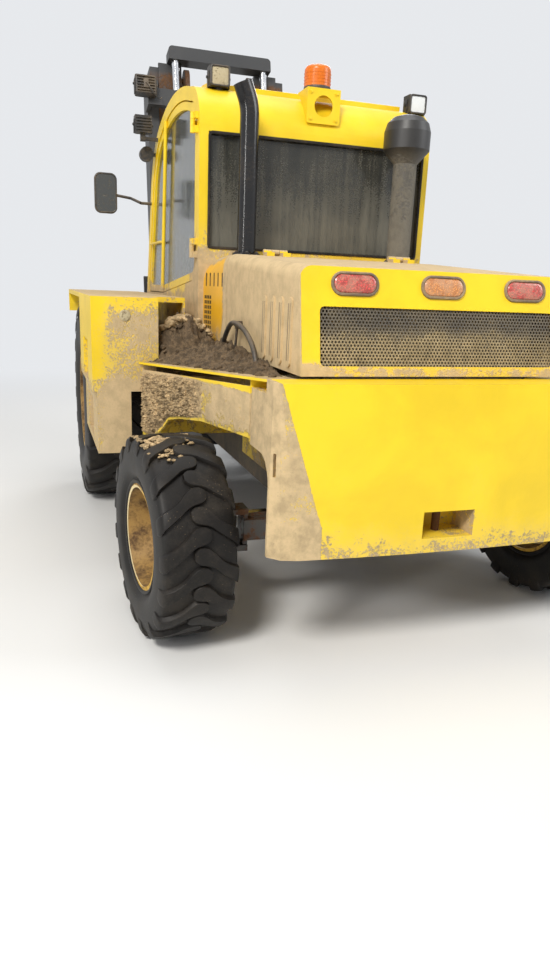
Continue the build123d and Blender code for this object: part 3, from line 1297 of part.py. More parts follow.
for name, side, turn, centre, tip, half, rim, bead, bars, depth in WHEELS:
    kind = name.split("_")[0]
    section = section_plane(centre, turn, side)
    axis = Axis(centre, section.x_dir)
    bar_w = 2 * pi * tip / bars
    with BuildPart() as envelope:
        with BuildSketch(section):
            add(tyre_section(tip, half, rim, bead, 0))
            make_face()
        revolve(axis=axis)
    with BuildPart() as bars_part:
        for end in (1, -1):
            planes = []
            for i in range(bars):
                angle = 2 * pi * (i + (0.5 if end < 0 else 0)) / bars
                radial = section.y_dir * cos(angle) + section.z_dir * sin(angle)
                planes.append(
                    Plane(origin=section.origin + radial * (tip + 3), x_dir=section.x_dir * end, z_dir=radial)
                )
            with BuildSketch(*planes):
                with BuildLine():
                    Polyline(
                        (-half * 0.05, bar_w * 0.30), (half * 0.45, bar_w * 0.02), (half + 5, -bar_w * 0.12),
                        (half + 5, bar_w * 0.24), (half * 0.5, bar_w * 0.30), (half * 0.02, bar_w * 0.58),
                        close=True,
                    )
                make_face()
            extrude(amount=-(depth * 2.6))
        add(envelope.part, mode=Mode.INTERSECT)
    with BuildPart() as tyre:
        with BuildSketch(section):
            add(tyre_section(tip, half, rim, bead, depth))
            make_face()
        revolve(axis=axis)
        add(bars_part.part)
    tyre.part.label = f"tyre_{name}"
    export_step(tyre.part, f"parts/tyre_{name}.step")

    disc_at = -DISC_AT[kind]
    with BuildPart() as rim_part:
        with BuildSketch(section):
            with BuildLine():
                Polyline(
                    (-bead - RIM_LIP, rim - RIM_WALL), (-bead - RIM_LIP, rim + RIM_LIP), (-bead - 1, rim + RIM_LIP),
                    (-bead - 1, rim), (bead + 1, rim), (bead + 1, rim + RIM_LIP), (bead + RIM_LIP, rim + RIM_LIP),
                    (bead + RIM_LIP, rim - RIM_WALL), (bead * 0.4, rim - 3 * RIM_WALL),
                    (disc_at + DISC_T[kind], rim * 0.78), (disc_at + DISC_T[kind], HUB_R[kind]),
                    (HUB_OUT[kind] + disc_at, HUB_R[kind] * 0.9), (HUB_OUT[kind] + disc_at, 0), (disc_at, 0),
                    (disc_at, rim - 3 * RIM_WALL), close=True,
                )
            make_face()
        revolve(axis=axis)
    rim_part.part.label = f"rim_{name}"
    export_step(rim_part.part, f"parts/rim_{name}.step")

# Mast: two outer channels, opening inwards, tied behind the lift cylinders
RAIL_BACK = MAST_Y + RAIL_DEPTH / 2
LIFT_Y = RAIL_BACK + CYL_AHEAD + LIFT_CYL_R
TIE_Y = LIFT_Y + LIFT_CYL_R + 8
EAR_W = 30
LUG_R = 48
FOOT_TOP = OUTER_BOTTOM + 108
TILT_PIN_Y = 120
TILT_PIN_UP = 460
TILT_EYE_R = 46
TILT_EYE_SLACK = 10
# Columns: lowest height of a tie, its height, its depth
TIES = [(OUTER_TOP - 240, BEAM_H, BEAM_D), (900, 100, BEAM_D), (TILT_PIN_UP - 50, 100, 26)]
CHAIN_X = 250
CHAIN_W = 34
CHAIN_T = 14
SHEAVE_R = 68
SHEAVE_W = 40
SHEAVE_Y = MAST_Y + 35
SHEAVE_Z = 2520
ANCHOR_Z = 2290


def channel(x, depth, width, web, lip):
    """Channel section standing on the mast's cross plane, open towards the middle."""
    side = 1 if x > 0 else -1
    with BuildSketch() as section:
        with Locations((x - side * width / 2, MAST_Y)):
            Rectangle(width, depth)
        with Locations((x - side * (width + web) / 2 - side * 1, MAST_Y)):
            Rectangle(width - web + 2, depth - 2 * lip, mode=Mode.SUBTRACT)
    return section.sketch


with BuildPart() as mast_outer:
    for side in (1, -1):
        with BuildSketch(mast_plane(0, 0, OUTER_BOTTOM)):
            add(channel(side * RAIL_OUTER_X, RAIL_DEPTH, RAIL_FLANGE, RAIL_WEB, RAIL_LIP))
        extrude(amount=OUTER_TOP - OUTER_BOTTOM)
        with BuildSketch(mast_side(side * (LUG_X + LUG_T / 2))):
            Circle(LUG_R)
            with Locations((RAIL_BACK / 2 - 3, 0)):
                Rectangle(6 - RAIL_BACK, 2 * LUG_R)
            Circle(MAST_PIN_R, mode=Mode.SUBTRACT)
        extrude(amount=LUG_T / 2, both=True)
        for low, height, depth in TIES:
            with BuildSketch(mast_side(side * (BEAM_HALF - EAR_W / 2))):
                with Locations(((RAIL_BACK - 10 + TIE_Y + depth) / 2, low + height / 2)):
                    Rectangle(TIE_Y + depth - RAIL_BACK + 10, height)
            extrude(amount=EAR_W / 2, both=True)
        for x in (-1, 1):
            with BuildSketch(mast_side(side * TILT_X + x * (TILT_EYE_W / 2 + RUNNING_GAP + 10))):
                with Locations((TILT_PIN_Y, TILT_PIN_UP)):
                    Circle(TILT_BOSS_R)
                with Locations(((TIE_Y + 10 + TILT_PIN_Y) / 2, TILT_PIN_UP)):
                    Rectangle(TILT_PIN_Y - TIE_Y - 10, 2 * TILT_BOSS_R)
            extrude(amount=10, both=True)
        with BuildSketch(mast_side(side * TILT_X)):
            with Locations((TILT_PIN_Y, TILT_PIN_UP)):
                Circle(TILT_PIN_R)
        extrude(amount=TILT_EYE_W / 2 + RUNNING_GAP + 20, both=True)
        with BuildSketch(mast_side(side * CHAIN_X)):
            with Locations(((SHEAVE_Y + SHEAVE_R + TIE_Y) / 2, ANCHOR_Z - 10)):
                Rectangle(TIE_Y - SHEAVE_Y - SHEAVE_R + 30, 20)
        extrude(amount=22, both=True)
    for low, height, depth in TIES:
        with BuildSketch(mast_plane(0, 0, low)):
            with Locations((0, TIE_Y + depth / 2)):
                Rectangle(2 * BEAM_HALF, depth)
        extrude(amount=height)
    with BuildSketch(mast_plane(0, 0, OUTER_BOTTOM)):
        with Locations((0, (RAIL_BACK + TIE_Y - 8) / 2 - 1)):
            Rectangle(2 * RAIL_OUTER_X, TIE_Y - 8 - RAIL_BACK + 2)
    extrude(amount=FOOT_TOP - OUTER_BOTTOM)
mast_outer.part.label = "mast_outer"
export_step(mast_outer.part, "parts/mast_outer.step")

BARREL_TOP = 2330
ROD_FLOOR = FOOT_TOP + 160

with BuildPart() as lift_cylinders:
    for side in (1, -1):
        with BuildSketch(mast_plane(0, 0, FOOT_TOP)):
            with Locations((side * LIFT_CYL_X, LIFT_Y)):
                Circle(LIFT_CYL_R)
        extrude(amount=BARREL_TOP - FOOT_TOP)
        with BuildSketch(mast_plane(0, 0, ROD_FLOOR - 140)):
            with Locations((side * LIFT_CYL_X, LIFT_Y)):
                Circle(LIFT_ROD_R + PIN_GAP)
        extrude(amount=BARREL_TOP - ROD_FLOOR + 200, mode=Mode.SUBTRACT)
lift_cylinders.part.label = "lift_cylinders"
export_step(lift_cylinders.part, "parts/lift_cylinders.step")

MAST_LIGHT_W = 150
MAST_LIGHT_D = 80
MAST_LIGHT_H = 123
MAST_LIGHT_X = 600
MAST_LIGHT_TOP = 2405

with BuildPart() as mast_lights:
    for side in (1, -1):
        with BuildSketch(mast_plane(0, 0, MAST_LIGHT_TOP - MAST_LIGHT_H)):
            with Locations((side * MAST_LIGHT_X, TIE_Y + BEAM_D + MAST_LIGHT_D / 2)):
                RectangleRounded(MAST_LIGHT_W, MAST_LIGHT_D, 12)
        extrude(amount=MAST_LIGHT_H)
mast_lights.part.label = "mast_lights"
export_step(mast_lights.part, "parts/mast_lights.step")

# Inner mast: nested channels, the crosshead on the lift rods and its chain sheaves
CROSS_LOW = 2615
CROSS_BACK = LIFT_Y + 38
CROSS_FRONT = MAST_Y + INNER_DEPTH / 2
POST_IN = 290
POST_DROP = 100
TIE_T = 20
INNER_TIE_HALF = 466

with BuildPart() as mast_inner:
    for side in (1, -1):
        with BuildSketch(mast_plane(0, 0, INNER_BOTTOM)):
            add(channel(side * INNER_OUTER_X, INNER_DEPTH, INNER_WIDTH, INNER_WEB, INNER_LIP))
        extrude(amount=INNER_TOP - INNER_BOTTOM)
        with BuildSketch(mast_plane(0, 0, SHEAVE_Z - POST_DROP)):
            with Locations((side * (POST_IN + INNER_TIE_HALF) / 2, CROSS_FRONT + TIE_T / 2)):
                Rectangle(INNER_TIE_HALF - POST_IN, TIE_T)
            with Locations((side * (POST_IN + 8), (CROSS_FRONT + SHEAVE_Y - 20) / 2)):
                Rectangle(16, CROSS_FRONT - SHEAVE_Y + 40)
        extrude(amount=CROSS_LOW - SHEAVE_Z + POST_DROP + 1)
        with BuildSketch(mast_side(side * (CHAIN_X - SHEAVE_W / 2))):
            with Locations((SHEAVE_Y, SHEAVE_Z)):
                Circle(20)
        extrude(amount=side * (POST_IN + 8 - CHAIN_X + SHEAVE_W / 2))
        with BuildSketch(mast_side(side * CHAIN_X)):
            with Locations((SHEAVE_Y, SHEAVE_Z)):
                Circle(SHEAVE_R)
        extrude(amount=SHEAVE_W / 2, both=True)
    with BuildSketch(mast_plane(0, 0, INNER_BOTTOM)):
        with Locations((0, CROSS_FRONT + TIE_T / 2 - 1)):
            Rectangle(2 * INNER_TIE_HALF, TIE_T - 2)
    extrude(amount=100)
    with BuildSketch(mast_plane(0, 0, CROSS_LOW)):
        with Locations((0, (CROSS_BACK + CROSS_FRONT) / 2)):
            Rectangle(2 * CROSSHEAD_HALF, CROSS_BACK - CROSS_FRONT)
    extrude(amount=CROSSHEAD_H)
    ends = mast_inner.edges().filter_by(lambda e: abs(e.center().X) > CROSSHEAD_HALF - 1)
    ends = ends.filter_by(lambda e: abs(e.length - (CROSS_BACK - CROSS_FRONT)) < 0.1)
    fillet(ends.filter_by(lambda e: abs(abs(e.center().X) - CROSSHEAD_HALF) < 0.1), 30)
mast_inner.part.label = "mast_inner"
export_step(mast_inner.part, "parts/mast_inner.step")

with BuildPart() as lift_rods:
    for side in (1, -1):
        with BuildSketch(mast_plane(0, 0, ROD_FLOOR)):
            with Locations((side * LIFT_CYL_X, LIFT_Y)):
                Circle(LIFT_ROD_R)
        extrude(amount=CROSS_LOW - ROD_FLOOR)
lift_rods.part.label = "lift_rods"
export_step(lift_rods.part, "parts/lift_rods.step")

# Carriage: two bars on side plates whose rollers run in the inner channels
PLATE_X = 360
PLATE_T = 50
ROLLER_R = 40
ROLLER_END = INNER_OUTER_X - INNER_WEB - 6
BAR_LOW = FORK_Z + 60
BAR_TOP = BAR_LOW + BAR_SPACING + BAR_H
PLATE_TOP = BAR_TOP + 30
ROLLER_ZS = [BAR_LOW + 130, BAR_LOW + 460]
CHAIN_ANCHOR = BAR_TOP - 20
CHAIN_RADIUS = SHEAVE_R + SEAT_GAP + CHAIN_T / 2

with BuildPart() as carriage:
    for low in (BAR_LOW, BAR_LOW + BAR_SPACING):
        with BuildSketch(mast_plane(0, 0, low)):
            with Locations((0, (BAR_FRONT + BAR_BACK) / 2)):
                Rectangle(2 * CARRIAGE_HALF, BAR_D)
        extrude(amount=BAR_H)
    for side in (1, -1):
        with BuildSketch(mast_plane(0, 0, BAR_LOW)):
            with Locations((side * (PLATE_X + PLATE_T / 2), (BAR_BACK + MAST_Y + 40) / 2 - 1)):
                Rectangle(PLATE_T, MAST_Y + 40 - BAR_BACK + 2)
        extrude(amount=PLATE_TOP - BAR_LOW)
        for z in ROLLER_ZS:
            with BuildSketch(mast_side(side * (PLATE_X + PLATE_T))):
                with Locations((MAST_Y, z)):
                    Circle(ROLLER_R)
            extrude(amount=side * (ROLLER_END - PLATE_X - PLATE_T))
        with BuildSketch(mast_plane(0, 0, CHAIN_ANCHOR - 30)):
            with Locations((side * CHAIN_X, (BAR_BACK + SHEAVE_Y - CHAIN_RADIUS + 12) / 2)):
                Rectangle(CHAIN_W + 10, SHEAVE_Y - CHAIN_RADIUS + 12 - BAR_BACK)
        extrude(amount=30 - SEAT_GAP)
carriage.part.label = "carriage"
export_step(carriage.part, "parts/carriage.step")

with BuildPart() as lift_chains:
    for side in (1, -1):
        with BuildSketch(mast_side(side * CHAIN_X)):
            with Locations((SHEAVE_Y, SHEAVE_Z)):
                Circle(CHAIN_RADIUS + CHAIN_T / 2)
                Circle(CHAIN_RADIUS - CHAIN_T / 2, mode=Mode.SUBTRACT)
                with Locations((0, -200)):
                    Rectangle(400, 400, mode=Mode.SUBTRACT)
            for at, low in ((SHEAVE_Y - CHAIN_RADIUS, CHAIN_ANCHOR), (SHEAVE_Y + CHAIN_RADIUS, ANCHOR_Z + SEAT_GAP)):
                with Locations((at, (low + SHEAVE_Z) / 2)):
                    Rectangle(CHAIN_T, SHEAVE_Z - low)
        extrude(amount=CHAIN_W / 2, both=True)
lift_chains.part.label = "lift_chains"
export_step(lift_chains.part, "parts/lift_chains.step")

BACKREST_XS = [0, 110, 220, 440, 515, 590]
BACKREST_BAR = 26
HOOK_T = 36

with BuildPart() as backrest:
    for x in BACKREST_XS + [-x for x in BACKREST_XS[1:]]:
        with BuildSketch(mast_plane(0, 0, BAR_TOP)):
            with Locations((x, BAR_FRONT + BACKREST_BAR / 2)):
                Rectangle(BACKREST_BAR, BACKREST_BAR)
        extrude(amount=FORK_Z + BACKREST_H - BAR_TOP)
    for z in (BAR_TOP + 60, FORK_Z + BACKREST_H - 40):
        with BuildSketch(mast_plane(0, 0, z)):
            with Locations((0, BAR_FRONT + BACKREST_BAR / 2)):
                Rectangle(2 * BACKREST_XS[-1] + BACKREST_BAR, BACKREST_BAR)
        extrude(amount=40)
backrest.part.label = "backrest"
export_step(backrest.part, "parts/backrest.step")

with BuildPart() as forks:
    for side in (1, -1):
        with BuildSketch(mast_side(side * FORK_X)):
            with BuildLine():
                Polyline(
                    (FORK_FACE, FORK_Z), (FORK_TIP, FORK_Z), (FORK_TIP, FORK_Z + FORK_TIP_T),
                    (FORK_FACE - FORK_T - FORK_LENGTH * 0.25, FORK_Z + FORK_T),
                    (FORK_FACE - FORK_T, FORK_Z + FORK_T), (FORK_FACE - FORK_T, BAR_TOP + SEAT_GAP + HOOK_T),
                    (BAR_FRONT + 16, BAR_TOP + SEAT_GAP + HOOK_T), (BAR_FRONT + 16, BAR_TOP + SEAT_GAP),
                    (FORK_FACE, BAR_TOP + SEAT_GAP), close=True,
                )
            make_face()
        extrude(amount=FORK_W / 2, both=True)
forks.part.label = "forks"
export_step(forks.part, "parts/forks.step")

# Tilt cylinders: barrels on the frame and rods whose open eyes surround the mast's pins
tilt_pin = mast_plane(0, TILT_PIN_Y, TILT_PIN_UP).origin
tilt_run = Vector(0, tilt_pin.Y - TILT_ANCHOR_Y, tilt_pin.Z - TILT_ANCHOR_Z)
TILT_BARREL_R = 44
TILT_BARREL_FAR = 520
TILT_ROD_START = 300
TILT_ROD_R = 24


def tilt_plane(x, along):
    """Plane square to a tilt cylinder, at x and at a distance from its anchor pin."""
    origin = Vector(x, TILT_ANCHOR_Y, TILT_ANCHOR_Z) + tilt_run.normalized() * along
    return Plane(origin=origin, x_dir=(1, 0, 0), z_dir=tilt_run)


with BuildPart() as tilt_barrels:
    for side in (1, -1):
        with BuildSketch(tilt_plane(side * TILT_X, 30)):
            Circle(TILT_BARREL_R)
        extrude(amount=TILT_BARREL_FAR - 30)
        with Locations(Location((side * TILT_X, TILT_ANCHOR_Y, TILT_ANCHOR_Z), (0, 90, 0))):
            Cylinder(TILT_BOSS_R, TILT_EYE_W)
        with BuildSketch(tilt_plane(side * TILT_X, TILT_BOSS_R + 20)):
            Circle(TILT_ROD_R + PIN_GAP)
        extrude(amount=TILT_BARREL_FAR, mode=Mode.SUBTRACT)
        with Locations(Location((side * TILT_X, TILT_ANCHOR_Y, TILT_ANCHOR_Z), (0, 90, 0))):
            Cylinder(TILT_PIN_R, 3 * TILT_EYE_W, mode=Mode.SUBTRACT)
        with BuildSketch(tilt_plane(side * TILT_X, 0)):
            for x in (-1, 1):
                with Locations((x * (TILT_EYE_W / 2 + 20), 0)):
                    Rectangle(40, 4 * TILT_BOSS_R)
        extrude(amount=TILT_BOSS_R + RUNNING_GAP, both=True, mode=Mode.SUBTRACT)
tilt_barrels.part.label = "tilt_barrels"
export_step(tilt_barrels.part, "parts/tilt_barrels.step")

with BuildPart() as tilt_rods:
    for side in (1, -1):
        with BuildSketch(tilt_plane(side * TILT_X, TILT_ROD_START)):
            Circle(TILT_ROD_R)
        extrude(amount=tilt_run.length - TILT_ROD_START - TILT_EYE_R + 8)
        with Locations(Location((side * TILT_X, tilt_pin.Y, tilt_pin.Z), (0, 90, 0))):
            Cylinder(TILT_EYE_R, TILT_EYE_W)
            Cylinder(TILT_PIN_R + TILT_EYE_SLACK, TILT_EYE_W, mode=Mode.SUBTRACT)
tilt_rods.part.label = "tilt_rods"
export_step(tilt_rods.part, "parts/tilt_rods.step")
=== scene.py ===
import math
import random

import bmesh
import bpy
import numpy as np
from mathutils import Matrix, Vector, noise
from mathutils.bvhtree import BVHTree


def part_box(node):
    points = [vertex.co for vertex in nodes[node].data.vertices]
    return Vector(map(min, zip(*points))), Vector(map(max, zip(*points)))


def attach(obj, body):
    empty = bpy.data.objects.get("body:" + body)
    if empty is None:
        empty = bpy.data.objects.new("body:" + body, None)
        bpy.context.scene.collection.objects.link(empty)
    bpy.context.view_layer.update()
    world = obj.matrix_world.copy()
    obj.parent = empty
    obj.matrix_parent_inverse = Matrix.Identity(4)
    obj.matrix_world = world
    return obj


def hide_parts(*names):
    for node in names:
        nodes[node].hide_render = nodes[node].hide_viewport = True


# Looks of a rough terrain forklift. Metres. X is the driver's left, Y the rear, Z up.
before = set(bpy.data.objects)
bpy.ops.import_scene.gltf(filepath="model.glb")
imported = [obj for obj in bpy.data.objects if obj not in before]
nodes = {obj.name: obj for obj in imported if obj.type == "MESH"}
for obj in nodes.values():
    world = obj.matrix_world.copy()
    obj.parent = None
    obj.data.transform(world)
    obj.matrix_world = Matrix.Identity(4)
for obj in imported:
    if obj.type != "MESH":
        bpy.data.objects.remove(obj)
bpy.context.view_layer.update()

YELLOW = (0.86, 0.60, 0.012)
MUD = (0.47, 0.335, 0.19)
MUD_PALE = (0.56, 0.42, 0.235)
MUD_DARK = (0.102, 0.069, 0.038)
CHARCOAL = (0.035, 0.036, 0.038)
RUST = (0.17, 0.075, 0.03)


# Materials
def add_node(tree, kind, inputs=None, **settings):
    """A shader node, its inputs linked to the sockets or set to the values given."""
    made = tree.nodes.new(kind)
    for key, value in settings.items():
        setattr(made, key, value)
    for key, value in (inputs or {}).items():
        if isinstance(value, bpy.types.NodeSocket):
            tree.links.new(value, made.inputs[key])
        else:
            made.inputs[key].default_value = value
    return made


def scaled(color, gain, lift=0.0):
    return tuple(min(1, c * gain + lift) for c in color)


class Shade:
    """A material and short calls for the texture nodes it needs."""

    def __init__(self, name, color, rough=0.5, metal=0.0, **sockets):
        self.material = bpy.data.materials.new(name)
        self.material.use_nodes = True
        self.tree = self.material.node_tree
        self.shader = self.tree.nodes["Principled BSDF"]
        self.shader.inputs["Base Color"].default_value = (*color, 1)
        self.shader.inputs["Roughness"].default_value = rough
        self.shader.inputs["Metallic"].default_value = metal
        for socket, value in sockets.items():
            self.shader.inputs[socket.replace("_", " ")].default_value = value
        coords = self.node("ShaderNodeTexCoord")
        self.place = coords.outputs["Object"]
        self.normal = coords.outputs["Normal"]
        self.axes = self.split(self.place)

    def node(self, kind, inputs=None, **settings):
        return add_node(self.tree, kind, inputs, **settings)

    def split(self, vector):
        return self.node("ShaderNodeSeparateXYZ", {0: vector}).outputs

    def stretch(self, x, y, z):
        return self.node("ShaderNodeMapping", {0: self.place, 3: (x, y, z)}).outputs[0]

    def noise(self, scale, detail=4.0, rough=0.55, vector=None, warp=0.0):
        made = self.node("ShaderNodeTexNoise", {
            "Vector": vector or self.place, "Scale": scale, "Detail": detail, "Roughness": rough,
            "Distortion": warp,
        })
        return made.outputs[0]

    def cells(self, scale, vector=None):
        inputs = {"Vector": vector or self.place, "Scale": scale}
        return self.node("ShaderNodeTexVoronoi", inputs, feature="F1").outputs["Distance"]

    def math(self, kind, a, b=0.0, clamp=False):
        return self.node("ShaderNodeMath", {0: a, 1: b}, operation=kind, use_clamp=clamp).outputs[0]

    def times(self, a, b, clamp=False):
        return self.math("MULTIPLY", a, b, clamp)

    def total(self, *parts):
        result = parts[0]
        for part in parts[1:]:
            result = self.math("ADD", result, part)
        return result

    def span(self, value, low, high, to_low=0.0, to_high=1.0):
        made = self.node("ShaderNodeMapRange", {0: value, 1: low, 2: high, 3: to_low, 4: to_high})
        made.interpolation_type = "SMOOTHSTEP"
        return made.outputs[0]

    def mix(self, share, a, b):
        share, a, b = ((*value, 1) if isinstance(value, tuple) else value for value in (share, a, b))
        return self.node("ShaderNodeMix", {0: share, 6: a, 7: b}, data_type="RGBA").outputs[2]

    def set(self, socket, value):
        self.tree.links.new(value, self.shader.inputs[socket])
        return self

    def bump(self, height, strength, distance):
        made = self.node("ShaderNodeBump", {"Height": height, "Strength": strength, "Distance": distance})
        return self.set("Normal", made.outputs[0])


def soiled(name, color, rough=0.4, metal=0.0, base=0.1, faces=(), spans=(), dust=0.35, grain=0.5,
           mud=MUD, vary=0.08, bump=0.0018, even=0.0, beyond=None, **sockets):
    """Paint under dried mud.

    faces: (axis, sign, gain) by the way a face looks. spans: (axis, from, to, gain) by place. even makes the mud
    one flat tone instead of blotches. beyond: (low z, half width there, high z, half width there, gain) covers
    what lies further out than a line that slants with the height.
    """
    s = Shade(name, color, rough, metal, **sockets)
    turned = s.split(s.normal)
    amount = s.math("ADD", base, 0.0)
    for axis, sign, gain in faces:
        way = s.math("ABSOLUTE", turned[axis]) if sign == 0 else s.times(turned[axis], float(sign))
        amount = s.math("ADD", amount, s.span(way, 0.35, 0.9, 0.0, gain))
    for axis, start, end, gain in spans:
        amount = s.math("ADD", amount, s.span(s.axes[axis], start, end, 0.0, gain))
    if beyond:
        low_z, low_half, high_z, high_half, gain = beyond
        slant = {0: s.axes[2], 1: low_z, 2: high_z, 3: low_half, 4: high_half}
        line = s.node("ShaderNodeMapRange", slant).outputs[0]
        out = s.math("SUBTRACT", s.math("ABSOLUTE", s.axes[0]), line)
        amount = s.math("ADD", amount, s.span(out, -0.004, 0.004, 0.0, gain))
    broad = s.noise(3.1, 5, 0.6, warp=0.4)
    patch = s.noise(17, 5, 0.65)
    fine = s.noise(95, 3, 0.7)
    wander = s.total(
        s.times(s.math("SUBTRACT", broad, 0.5), 1.1),
        s.times(s.math("SUBTRACT", patch, 0.5), 0.9),
        s.times(s.math("SUBTRACT", fine, 0.5), grain),
    )
    level = s.math("ADD", amount, wander)
    crust = s.span(level, 0.42, 0.60)
    film = s.span(s.math("ADD", amount, s.times(wander, 0.5)), 0.0, 0.75, 0.0, dust)
    specks = s.span(s.cells(140), 0.10, 0.17, 1.0, 0.0)
    specks = s.times(specks, s.span(s.noise(6, 3), 0.5, 0.68, 0.0, 0.9))
    clean = s.mix(s.span(broad, 0.3, 0.7), scaled(color, 1 - vary), scaled(color, 1 + vary))
    deep = 0.66 + 0.26 * even
    dirty = s.mix(s.span(patch, 0.35, 0.7), scaled(mud, 1.08), scaled(mud, deep))
    dirty = s.mix(s.span(fine, 0.60, 0.78, 0.0, 0.6 - 0.3 * even), dirty, scaled(mud, 0.42))
    paint = s.mix(film, clean, scaled(mud, 1.05))
    paint = s.mix(s.times(specks, film, True), paint, scaled(mud, 0.4))
    s.set("Base Color", s.mix(crust, paint, dirty))
    s.set("Roughness", s.total(s.span(crust, 0, 1, rough, 0.93), s.times(film, 0.25)))
    s.bump(s.total(s.times(crust, s.math("ADD", fine, 0.6)), s.times(specks, 0.25)), 0.9, bump)
    return s.material


def plain(name, color, rough=0.5, metal=0.0, dust=0.25, scale=22, mud=MUD, bump=0.0004, **sockets):
    """A material with light dust and a fine grain."""
    s = Shade(name, color, rough, metal, **sockets)
    broad = s.noise(scale * 0.25, 4, 0.6)
    fine = s.noise(scale * 4, 3, 0.6)
    level = s.span(s.split(s.normal)[2], 0.2, 1, 0, 0.18)
    settled = s.span(s.total(broad, s.times(fine, 0.35), level), 0.55, 0.95, 0, dust)
    tone = s.mix(broad, scaled(color, 0.85), scaled(color, 1.15))
    s.set("Base Color", s.mix(settled, tone, mud))
    s.set("Roughness", s.span(settled, 0, 1, rough, 0.95))
    s.bump(fine, 0.5, bump)
    return s.material


def rubber(name, color=(0.0095, 0.0082, 0.0072), dust=0.45):
    s = Shade(name, color, 0.62, Specular_IOR_Level=0.24)
    broad = s.noise(7, 4, 0.6)
    fine = s.noise(120, 3, 0.7)
    grime = s.span(s.total(broad, s.times(fine, 0.4)), 0.60, 1.0, 0, dust)
    specks = s.times(s.span(s.cells(85), 0.06, 0.13, 1.0, 0.0), s.span(s.noise(9, 3), 0.50, 0.62))
    tone = s.mix(grime, color, (0.07, 0.058, 0.045))
    s.set("Base Color", s.mix(s.times(specks, 0.8), tone, (0.30, 0.22, 0.13)))
    s.set("Roughness", s.span(grime, 0, 1, 0.50, 0.88))
    s.bump(fine, 0.6, 0.0006)
    return s.material


def window(name, tint, clear, dusty, streaks):
    """Glass under dust that has run down in streaks."""
    s = Shade(name, tint, 0.06, Transmission_Weight=clear, IOR=1.45)
    runs = s.noise(34, 3, 0.6, s.stretch(1, 1, 0.05))
    veil = s.noise(2.4, 4, 0.6)
    grit = s.noise(130, 2, 0.6)
    rise = s.span(s.axes[2], 2.35, 1.45, 0, 0.24)
    level = s.total(s.times(runs, streaks), s.times(veil, 0.50), s.times(grit, 0.35), rise)
    film = s.span(level, 0.44, 1.02, 0.0, dusty)
    drops = s.span(s.cells(120, s.stretch(1, 1, 0.45)), 0.10, 0.20, 1.0, 0.0)
    drops = s.times(drops, s.span(veil, 0.42, 0.60, 0.0, 0.8))
    film = s.math("MAXIMUM", film, s.times(drops, dusty))
    s.set("Base Color", s.mix(film, tint, (0.235, 0.215, 0.16)))
    s.set("Roughness", s.span(film, 0, 1, 0.08, 0.9))
    s.set("Transmission Weight", s.span(film, 0.0, 0.8, clear, 0.0))
    s.bump(grit, 0.3, 0.0003)
    return s.material


def lens(name, color, dusty=0.45):
    """A ribbed lamp lens with dust on it."""
    s = Shade(name, color, 0.16, Coat_Weight=0.6)
    dots = s.cells(170)
    # Cells lighter in the middle and darker at their edges: painted highlight and shade of the lens ribs
    shade = s.mix(s.span(dots, 0.1, 0.55), scaled(color, 1.5, 0.02), scaled(color, 0.55))
    film = s.span(s.total(s.noise(30, 4), s.times(s.noise(150, 2), 0.4)), 0.5, 0.85, 0.1, dusty)
    s.set("Base Color", s.mix(film, shade, (0.50, 0.36, 0.24)))
    s.set("Roughness", s.span(film, 0, 1, 0.14, 0.9))
    s.bump(dots, 0.6, 0.0012)
    return s.material


def rusty(name, color, share=0.5):
    s = Shade(name, color, 0.55, 0.3)
    broad = s.noise(16, 5, 0.65)
    fine = s.noise(110, 3, 0.7)
    patch = s.span(s.total(broad, s.times(fine, 0.3)), 0.8 - share * 0.5, 1.0 - share * 0.5)
    s.set("Base Color", s.mix(patch, color, s.mix(fine, RUST, (0.07, 0.035, 0.02))))
    s.set("Roughness", s.span(patch, 0, 1, 0.45, 0.92))
    s.bump(fine, 0.7, 0.001)
    return s.material


def rim_paint(name, centre, rim):
    """Rusty barrel, cream disc and a yellow lip: by the distance from the axle and the way a face looks."""
    s = Shade(name, YELLOW, 0.5)
    ahead = s.math("SUBTRACT", s.axes[1], centre.y)
    rise = s.math("SUBTRACT", s.axes[2], centre.z)
    reach = s.math("SQRT", s.total(s.times(ahead, ahead), s.times(rise, rise)))
    disc = s.span(s.math("ABSOLUTE", s.split(s.normal)[0]), 0.35, 0.8)
    broad = s.noise(9, 5, 0.65)
    fine = s.noise(80, 3, 0.7)
    worn = s.total(broad, s.times(fine, 0.35))
    barrel = s.mix(s.span(worn, 0.55, 0.85), (0.34, 0.20, 0.055), (0.085, 0.045, 0.02))
    face = s.mix(s.span(worn, 0.74, 1.0), (0.76, 0.62, 0.34), (0.36, 0.23, 0.10))
    lip = s.mix(s.span(worn, 0.60, 0.85), (0.62, 0.36, 0.03), (0.16, 0.085, 0.03))
    inner = s.mix(disc, barrel, face)
    s.set("Base Color", s.mix(s.span(reach, rim * 0.975, rim * 1.0), inner, lip))
    s.set("Roughness", s.span(worn, 0.5, 0.9, 0.45, 0.95))
    s.bump(s.total(broad, fine), 0.6, 0.0016)
    return s.material


def steel(name, color=(0.62, 0.62, 0.63), rough=0.16):
    s = Shade(name, color, rough, 1.0)
    smear = s.noise(40, 4, 0.6)
    s.set("Roughness", s.span(smear, 0.35, 0.75, rough, rough + 0.22))
    s.set("Base Color", s.mix(s.span(smear, 0.5, 0.8, 0, 0.35), color, (0.32, 0.25, 0.18)))
    s.bump(smear, 0.2, 0.0003)
    return s.material


